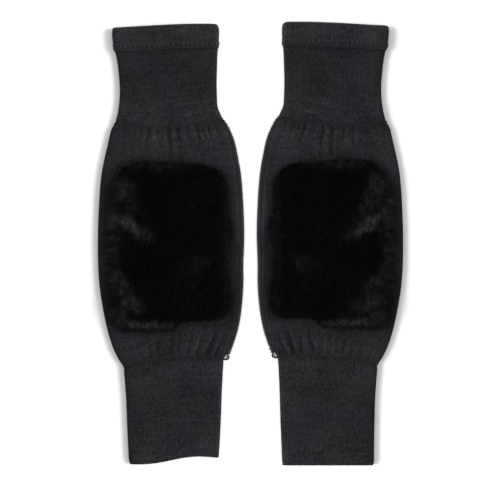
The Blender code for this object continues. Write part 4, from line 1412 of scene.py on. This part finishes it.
# %% Body of the pile, with what the fibres need
NAP_DOWN, NAP_IN, NAP_UP = 0.78, 0.10, 0.36  # how far the pile leans to the calf, inwards and up
NAP_SWIRL = 0.75  # radians
NAP_SWIRL_SIZE = 34.0  # mm
EDGE_LEAN_ZONE = 8.0  # mm
EDGE_PUSH, TOP_PUSH_LESS = 0.62, 0.5  # lean out over the edge, and how much less at the upper side
EDGE_NAP_LESS, EDGE_UP_LESS = 0.7, 0.15  # how much less the pile leans to the calf and up at the edge
FLAT_OUT, FLAT_DOWN, FLAT_UP = 0.6, -0.35, 0.05  # strays' lean: outwards along the leg, to the calf, up
EDGE_SHORT, LOWER_SHORT = 0.15, 0.45  # how much shorter the pile is at its inner and its lower edge
RIM_WIDTH = 3.5  # mm, where the stray fibres at the pad's edge are rooted
RIM_MORE, RIM_FEWER = 0.7, 0.8  # shares more that the outer rim has below, and fewer above
RIM_FADE = (0.78, 0.08)  # share upwards from which it has fewer, and over what
BUMP, STEP = 0.9, 1.5  # mm, height of the body's bumps and of a parting's step
BUMP_SIZE = (7.0, 9.0)  # mm outwards and along


def plush_body(name, side, material):
    """The bumpy body of the pile, closed over its backing."""
    columns, rows = (np.linspace(-size / 2, size / 2, round(size / PAD_STEP))
                     for size in (PAD_WIDTH, PAD_LENGTH))
    full_x, full_y = round_corners(*np.meshgrid(columns, rows))
    shape = full_x.shape
    full_x, full_y = full_x.ravel(), full_y.ravel()
    outward, upward = full_x / PAD_WIDTH + 0.5, full_y / PAD_LENGTH + 0.5
    inner_inset = INSETS["inner"] - curve_through(INNER_EDGE, full_y)
    top_inset = INSETS["top"] - curve_through(TOP_EDGE, outward)
    x = full_x + inner_inset * (1 - outward) - INSETS["outer"] * outward
    y = full_y + curve_through(LOWER_EDGE[side], outward) * (1 - upward) ** 2 - top_inset * upward ** 2
    gap, out_x, out_y = edge_of_pad(full_x, full_y)
    reach, along = pad_plan(x, y)
    base = knee_front(reach, along) + swells(reach, along, KNEE_SEED[side]) + PAD_CLEAR
    bumps = BUMP * soft_noise(x / BUMP_SIZE[0], y / BUMP_SIZE[1], 40.0 + side)
    bumps += STEP * parting_step(side, reach, along)
    pile = BODY_SHARE * (PAD_EDGE + (PAD_PILE - PAD_EDGE) * rounding(gap / PAD_ROLL))
    pile = pile * (1 + STEEPER_OUTSIDE * outward * np.exp(-gap / PAD_ROLL))
    top = base + pile + bumps * np.minimum(gap / PAD_ROLL, 1)

    points = np.concatenate([to_table(side, reach, along, top), to_table(side, reach, along, base)])
    index = np.arange(x.size).reshape(shape)
    quads = np.stack([index[:-1, :-1], index[:-1, 1:], index[1:, 1:], index[1:, :-1]], -1).reshape(-1, 4)
    rim = np.concatenate([index[0, :-1], index[:-1, -1], index[-1, :0:-1], index[:0:-1, 0]])
    after = np.roll(rim, -1)
    skirt = np.stack([rim, rim + x.size, after + x.size, after], -1)
    faces = np.concatenate([quads, quads[:, ::-1] + x.size, skirt])
    piece = mesh_object(name, points, faces[:, ::side].tolist(), material)

    swirl = NAP_SWIRL * soft_noise(x / NAP_SWIRL_SIZE, y / NAP_SWIRL_SIZE, 60.0 + side)
    lean_x = -NAP_IN * np.cos(swirl) + NAP_DOWN * np.sin(swirl)
    lean_y = -NAP_IN * np.sin(swirl) - NAP_DOWN * np.cos(swirl)
    edge = 1 - np.clip(gap / EDGE_LEAN_ZONE, 0, 1)
    push = np.where(out_y > 0, EDGE_PUSH * (1 - TOP_PUSH_LESS * out_y), EDGE_PUSH)
    outer_rim = (RIM_MORE + RIM_FEWER) * fade((upward - RIM_FADE[0]) / RIM_FADE[1]) - RIM_FEWER
    rim_weight = np.exp(-gap / RIM_WIDTH) * (1.0 + outer_rim * outward ** 3)
    reach_share = ((1 - EDGE_SHORT * edge * (1 - outward))
                   * (1 - LOWER_SHORT * edge * np.maximum(-out_y, 0)))
    #   each field on the pile and on the backing, where nothing grows
    fields = {
        "cover": (1.0 + 0.0 * x, 0.0 * x),
        "rim": (rim_weight, 0.0 * x),
        "reach": (reach_share, reach_share),
        "tone": (painted_pile_sheen(side, reach, along),) * 2,
    }
    for field, halves in fields.items():
        store(piece, field, np.concatenate(halves))
    nap = np.stack([side * (lean_x * (1 - edge) + push * out_x * edge),
                    lean_y * (1 - EDGE_NAP_LESS * edge) + push * out_y * edge,
                    NAP_UP * (1 - EDGE_UP_LESS * edge)], axis=-1)
    flat_out = np.stack([side * out_x, FLAT_OUT * out_y + FLAT_DOWN, FLAT_UP + 0.0 * out_x], axis=-1)
    for field, lean in (("nap", nap), ("flat_out", flat_out)):
        store(piece, field, np.concatenate([lean, lean]), "FLOAT_VECTOR")
    return piece


print("the body fills", round(BODY_SHARE * PAD_PILE, 1), "mm of a pile of", PAD_PILE, "mm")

# %% [markdown]
# ## Fibres by Geometry Nodes
# The tree scatters points over the body, turns a thin spike at each along the nap, and
# pulls neighbours together with a noise, as tufts of soft pile do. Hair particles could do
# the same, but what a tree makes is a plain mesh that can be exported as it is.

# %% The plush tree
def vector_sum(tree, first, second, operation="ADD"):
    return add_node(tree, "VectorMath", {0: first, 1: second}, operation=operation)


def marked(tree, geometry, name, value):
    """Geometry that carries a value at each point under a name."""
    return add_node(tree, "StoreNamedAttribute",
                    {"Geometry": geometry, "Name": name, "Value": value}, data_type="FLOAT", domain="POINT")


STRAY_LEAN = (1.0, 1.0, 0.6)  # how far single fibres stray from the nap, each way
#   least and most share, seed
LENGTHS, THICKNESSES, LIGHTS = (0.45, 1.15, 11), (0.7, 1.2, 12), (0.2, 1.6, 13)

tree, given = new_tree("plush_fibres", ["Density", "Length", "Thickness", "Curl", "Tuft size", "Tuft pull",
                                        "Spread"], ["Joints", "Seed"], ["Grows where", "Leans to"])
scatter = add_node(tree, "DistributePointsOnFaces", {
    "Mesh": given["Geometry"], "Seed": given["Seed"],
    "Density": product(tree, attribute_of(tree, given["Grows where"]), given["Density"])})

tufts = add_node(tree, "TexNoise", {
    "Scale": math_node(tree, "DIVIDE", 1.0, given["Tuft size"]), "Detail": 1.0})
tufts = vector_sum(tree, tufts.outputs["Color"], (0.5, 0.5, 0.5), "SUBTRACT")
stray = add_node(tree, "RandomValue",
                 {0: [-share for share in STRAY_LEAN], 1: STRAY_LEAN, "Seed": given["Seed"]},
                 data_type="FLOAT_VECTOR")
nap = attribute_of(tree, given["Leans to"], "FLOAT_VECTOR")
for lean, strength in ((tufts, "Tuft pull"), (stray, "Spread")):
    nap = vector_sum(tree, nap, scaled(tree, lean, given[strength]))
aim = add_node(tree, "AlignRotationToVector", {"Vector": nap}, axis="Z")
droop = add_node(tree, "AlignRotationToVector",
                 {"Rotation": aim, "Vector": (0.0, 0.0, -1.0)}, axis="X", pivot_axis="Z")

spike = add_node(tree, "MeshCone", {
    "Vertices": 3, "Side Segments": given["Joints"], "Radius Top": 0.0, "Radius Bottom": 0.5,
    "Depth": 1.0})
tip = add_node(tree, "SeparateXYZ", {0: add_node(tree, "InputPosition")}).outputs[2]
bend = add_node(tree, "CombineXYZ", {
    0: product(tree, math_node(tree, "POWER", tip, 2.0), given["Curl"])})
bent = add_node(tree, "SetPosition",
                {"Geometry": marked(tree, spike, "tip", tip), "Offset": bend})
fibre = add_node(tree, "SetShadeSmooth", {"Geometry": bent})

tall = product(tree, attribute_of(tree, "reach"), given["Length"], random_value(tree, *LENGTHS))
thick = product(tree, given["Thickness"], random_value(tree, *THICKNESSES))
# each fibre's painted sheen: the pile's painted sheen at its root, times a random share
light = product(tree, attribute_of(tree, "tone"), random_value(tree, *LIGHTS))
grown = add_node(tree, "InstanceOnPoints", {
    "Points": marked(tree, scatter, "light", light), "Instance": fibre, "Rotation": droop,
    "Scale": add_node(tree, "CombineXYZ", {0: thick, 1: thick, 2: tall})})
plush_tree = end_tree(tree, given, grown)

# %% [markdown]
# ## Black plush fibre
# The fibre is dyed modacrylic, cut short and brushed. Single fibres are glossy, but so
# many cross each other that almost all light is lost among them, and only parted tips show
# as grey-brown where they catch the light; that sheen is painted into the fibre's colour.
# Real fibres are some 0.04 mm thick. They are drawn several times thicker and far fewer,
# which gives the same cover.

# %% Plush materials
def plush_material(name, deep, tip_colour, parted):
    """Deep at the root, a little lighter at the tip, and painted lighter still where a parting's sheen is
    painted in.
    """
    made, tree = new_material(name)
    tip, light = stored(tree, "tip", "light")
    return end_material(made, blended(tree, light, blended(tree, tip, deep, tip_colour), parted), 0.6, 0.08)


PLUSH_BODY = plush_material("black_plush_ground", "#010103", "#010103", "#0a0a0c")
PLUSH_FIBRE = plush_material("black_plush_fibre", "#020204", "#05050e", "#48484c")
print("plush in two tones")

# %% [markdown]
# ## Three kinds of fibre
# Short straight underfibres fill the pile, longer curved guard fibres lie over them, and
# a few strays lie out over the knit at the rim. One tree grows all three from this table.

# %% Grow both pads
TABLE_CLEAR = 0.2  # mm, how close a fibre comes to the table
TUFT_SIZE, TUFT_PULL = 6.0, 1.5  # mm, and how strongly fibres lean to their tuft
#   density for each square metre, length and thickness in mm, joints, curl, spread, roots, lean
FIBRES = {
    "under": (1.35e6, 7.5, 0.55, 1, 0.0, 0.22, "cover", "nap"),
    "guard": (0.55e6, 9.0, 0.36, 2, 3.0, 0.22, "cover", "nap"),
    "stray": (1.0e6, 12.0, 0.34, 2, 3.0, 0.35, "rim", "flat_out"),
}


def keep_above_table(piece):
    """Lay fibres that would reach through the table on it."""
    for vertex in piece.data.vertices:
        vertex.co.z = max(vertex.co.z, TABLE_CLEAR * MM)


for side, prefix in SIDE_NAMES.items():
    body = plush_body(prefix + "plush_body", side, PLUSH_BODY)
    hand_over(side, "pad", body, "plush", "plush_pad")
    for number, (kind, measures) in enumerate(FIBRES.items()):
        density, length, thickness, joints, curl, spread, roots, lean = measures
        fibres = bpy.data.objects.new(prefix + "plush_" + kind, body.data.copy())
        scene.collection.objects.link(fibres)
        run_tree(fibres, plush_tree, {
            "Density": density, "Length": length * MM, "Thickness": thickness * MM, "Joints": joints,
            "Curl": curl, "Spread": spread, "Grows where": roots, "Leans to": lean,
            "Tuft size": TUFT_SIZE * MM, "Tuft pull": TUFT_PULL, "Seed": 20 + 2 * number + side,
            "Material": PLUSH_FIBRE})
        keep_above_table(fibres)
        hand_over(side, kind, fibres, "plush")
        print(fibres.name, triangles(fibres), "triangles")

# %% [markdown]
# ## The cut of the cloth
# Each knitted piece is a sheet that was knitted to a size and laid flat. A tube's cut is
# measured all round, so it is twice the width of the tube as it lies, and each cut is printed.

SEWN_ON = {"band": ["band_stitch"], "thigh": [], "knee": ["seam", "overlock", "links"],
           "calf": ["cast_off"]}

for side, prefix in SIDE_NAMES.items():
    group = groups[side]
    for part, rows in tubes_of(side).items():
        middle = lines_at(rows, np.linspace(0, tube_length(rows), 40))
        flat = (2 * float(line_width(middle).mean()) * MM, tube_length(rows) * MM)
        [group[name] for name in SEWN_ON[part]]
        print(prefix + part, [round(value / MM) for value in flat], "mm")

# %% [markdown]
# ## Size
# The dressed warmers are meant to stay the size of their solids. The box round all their
# shown pieces is printed, with their triangles.

# %% Print the size of the pieces
low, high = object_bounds()
print("all pieces:", sum(triangles(piece) for group in groups.values() for piece in group.values()),
      "triangles,", [round(v / MM, 1) for v in high - low], "mm")
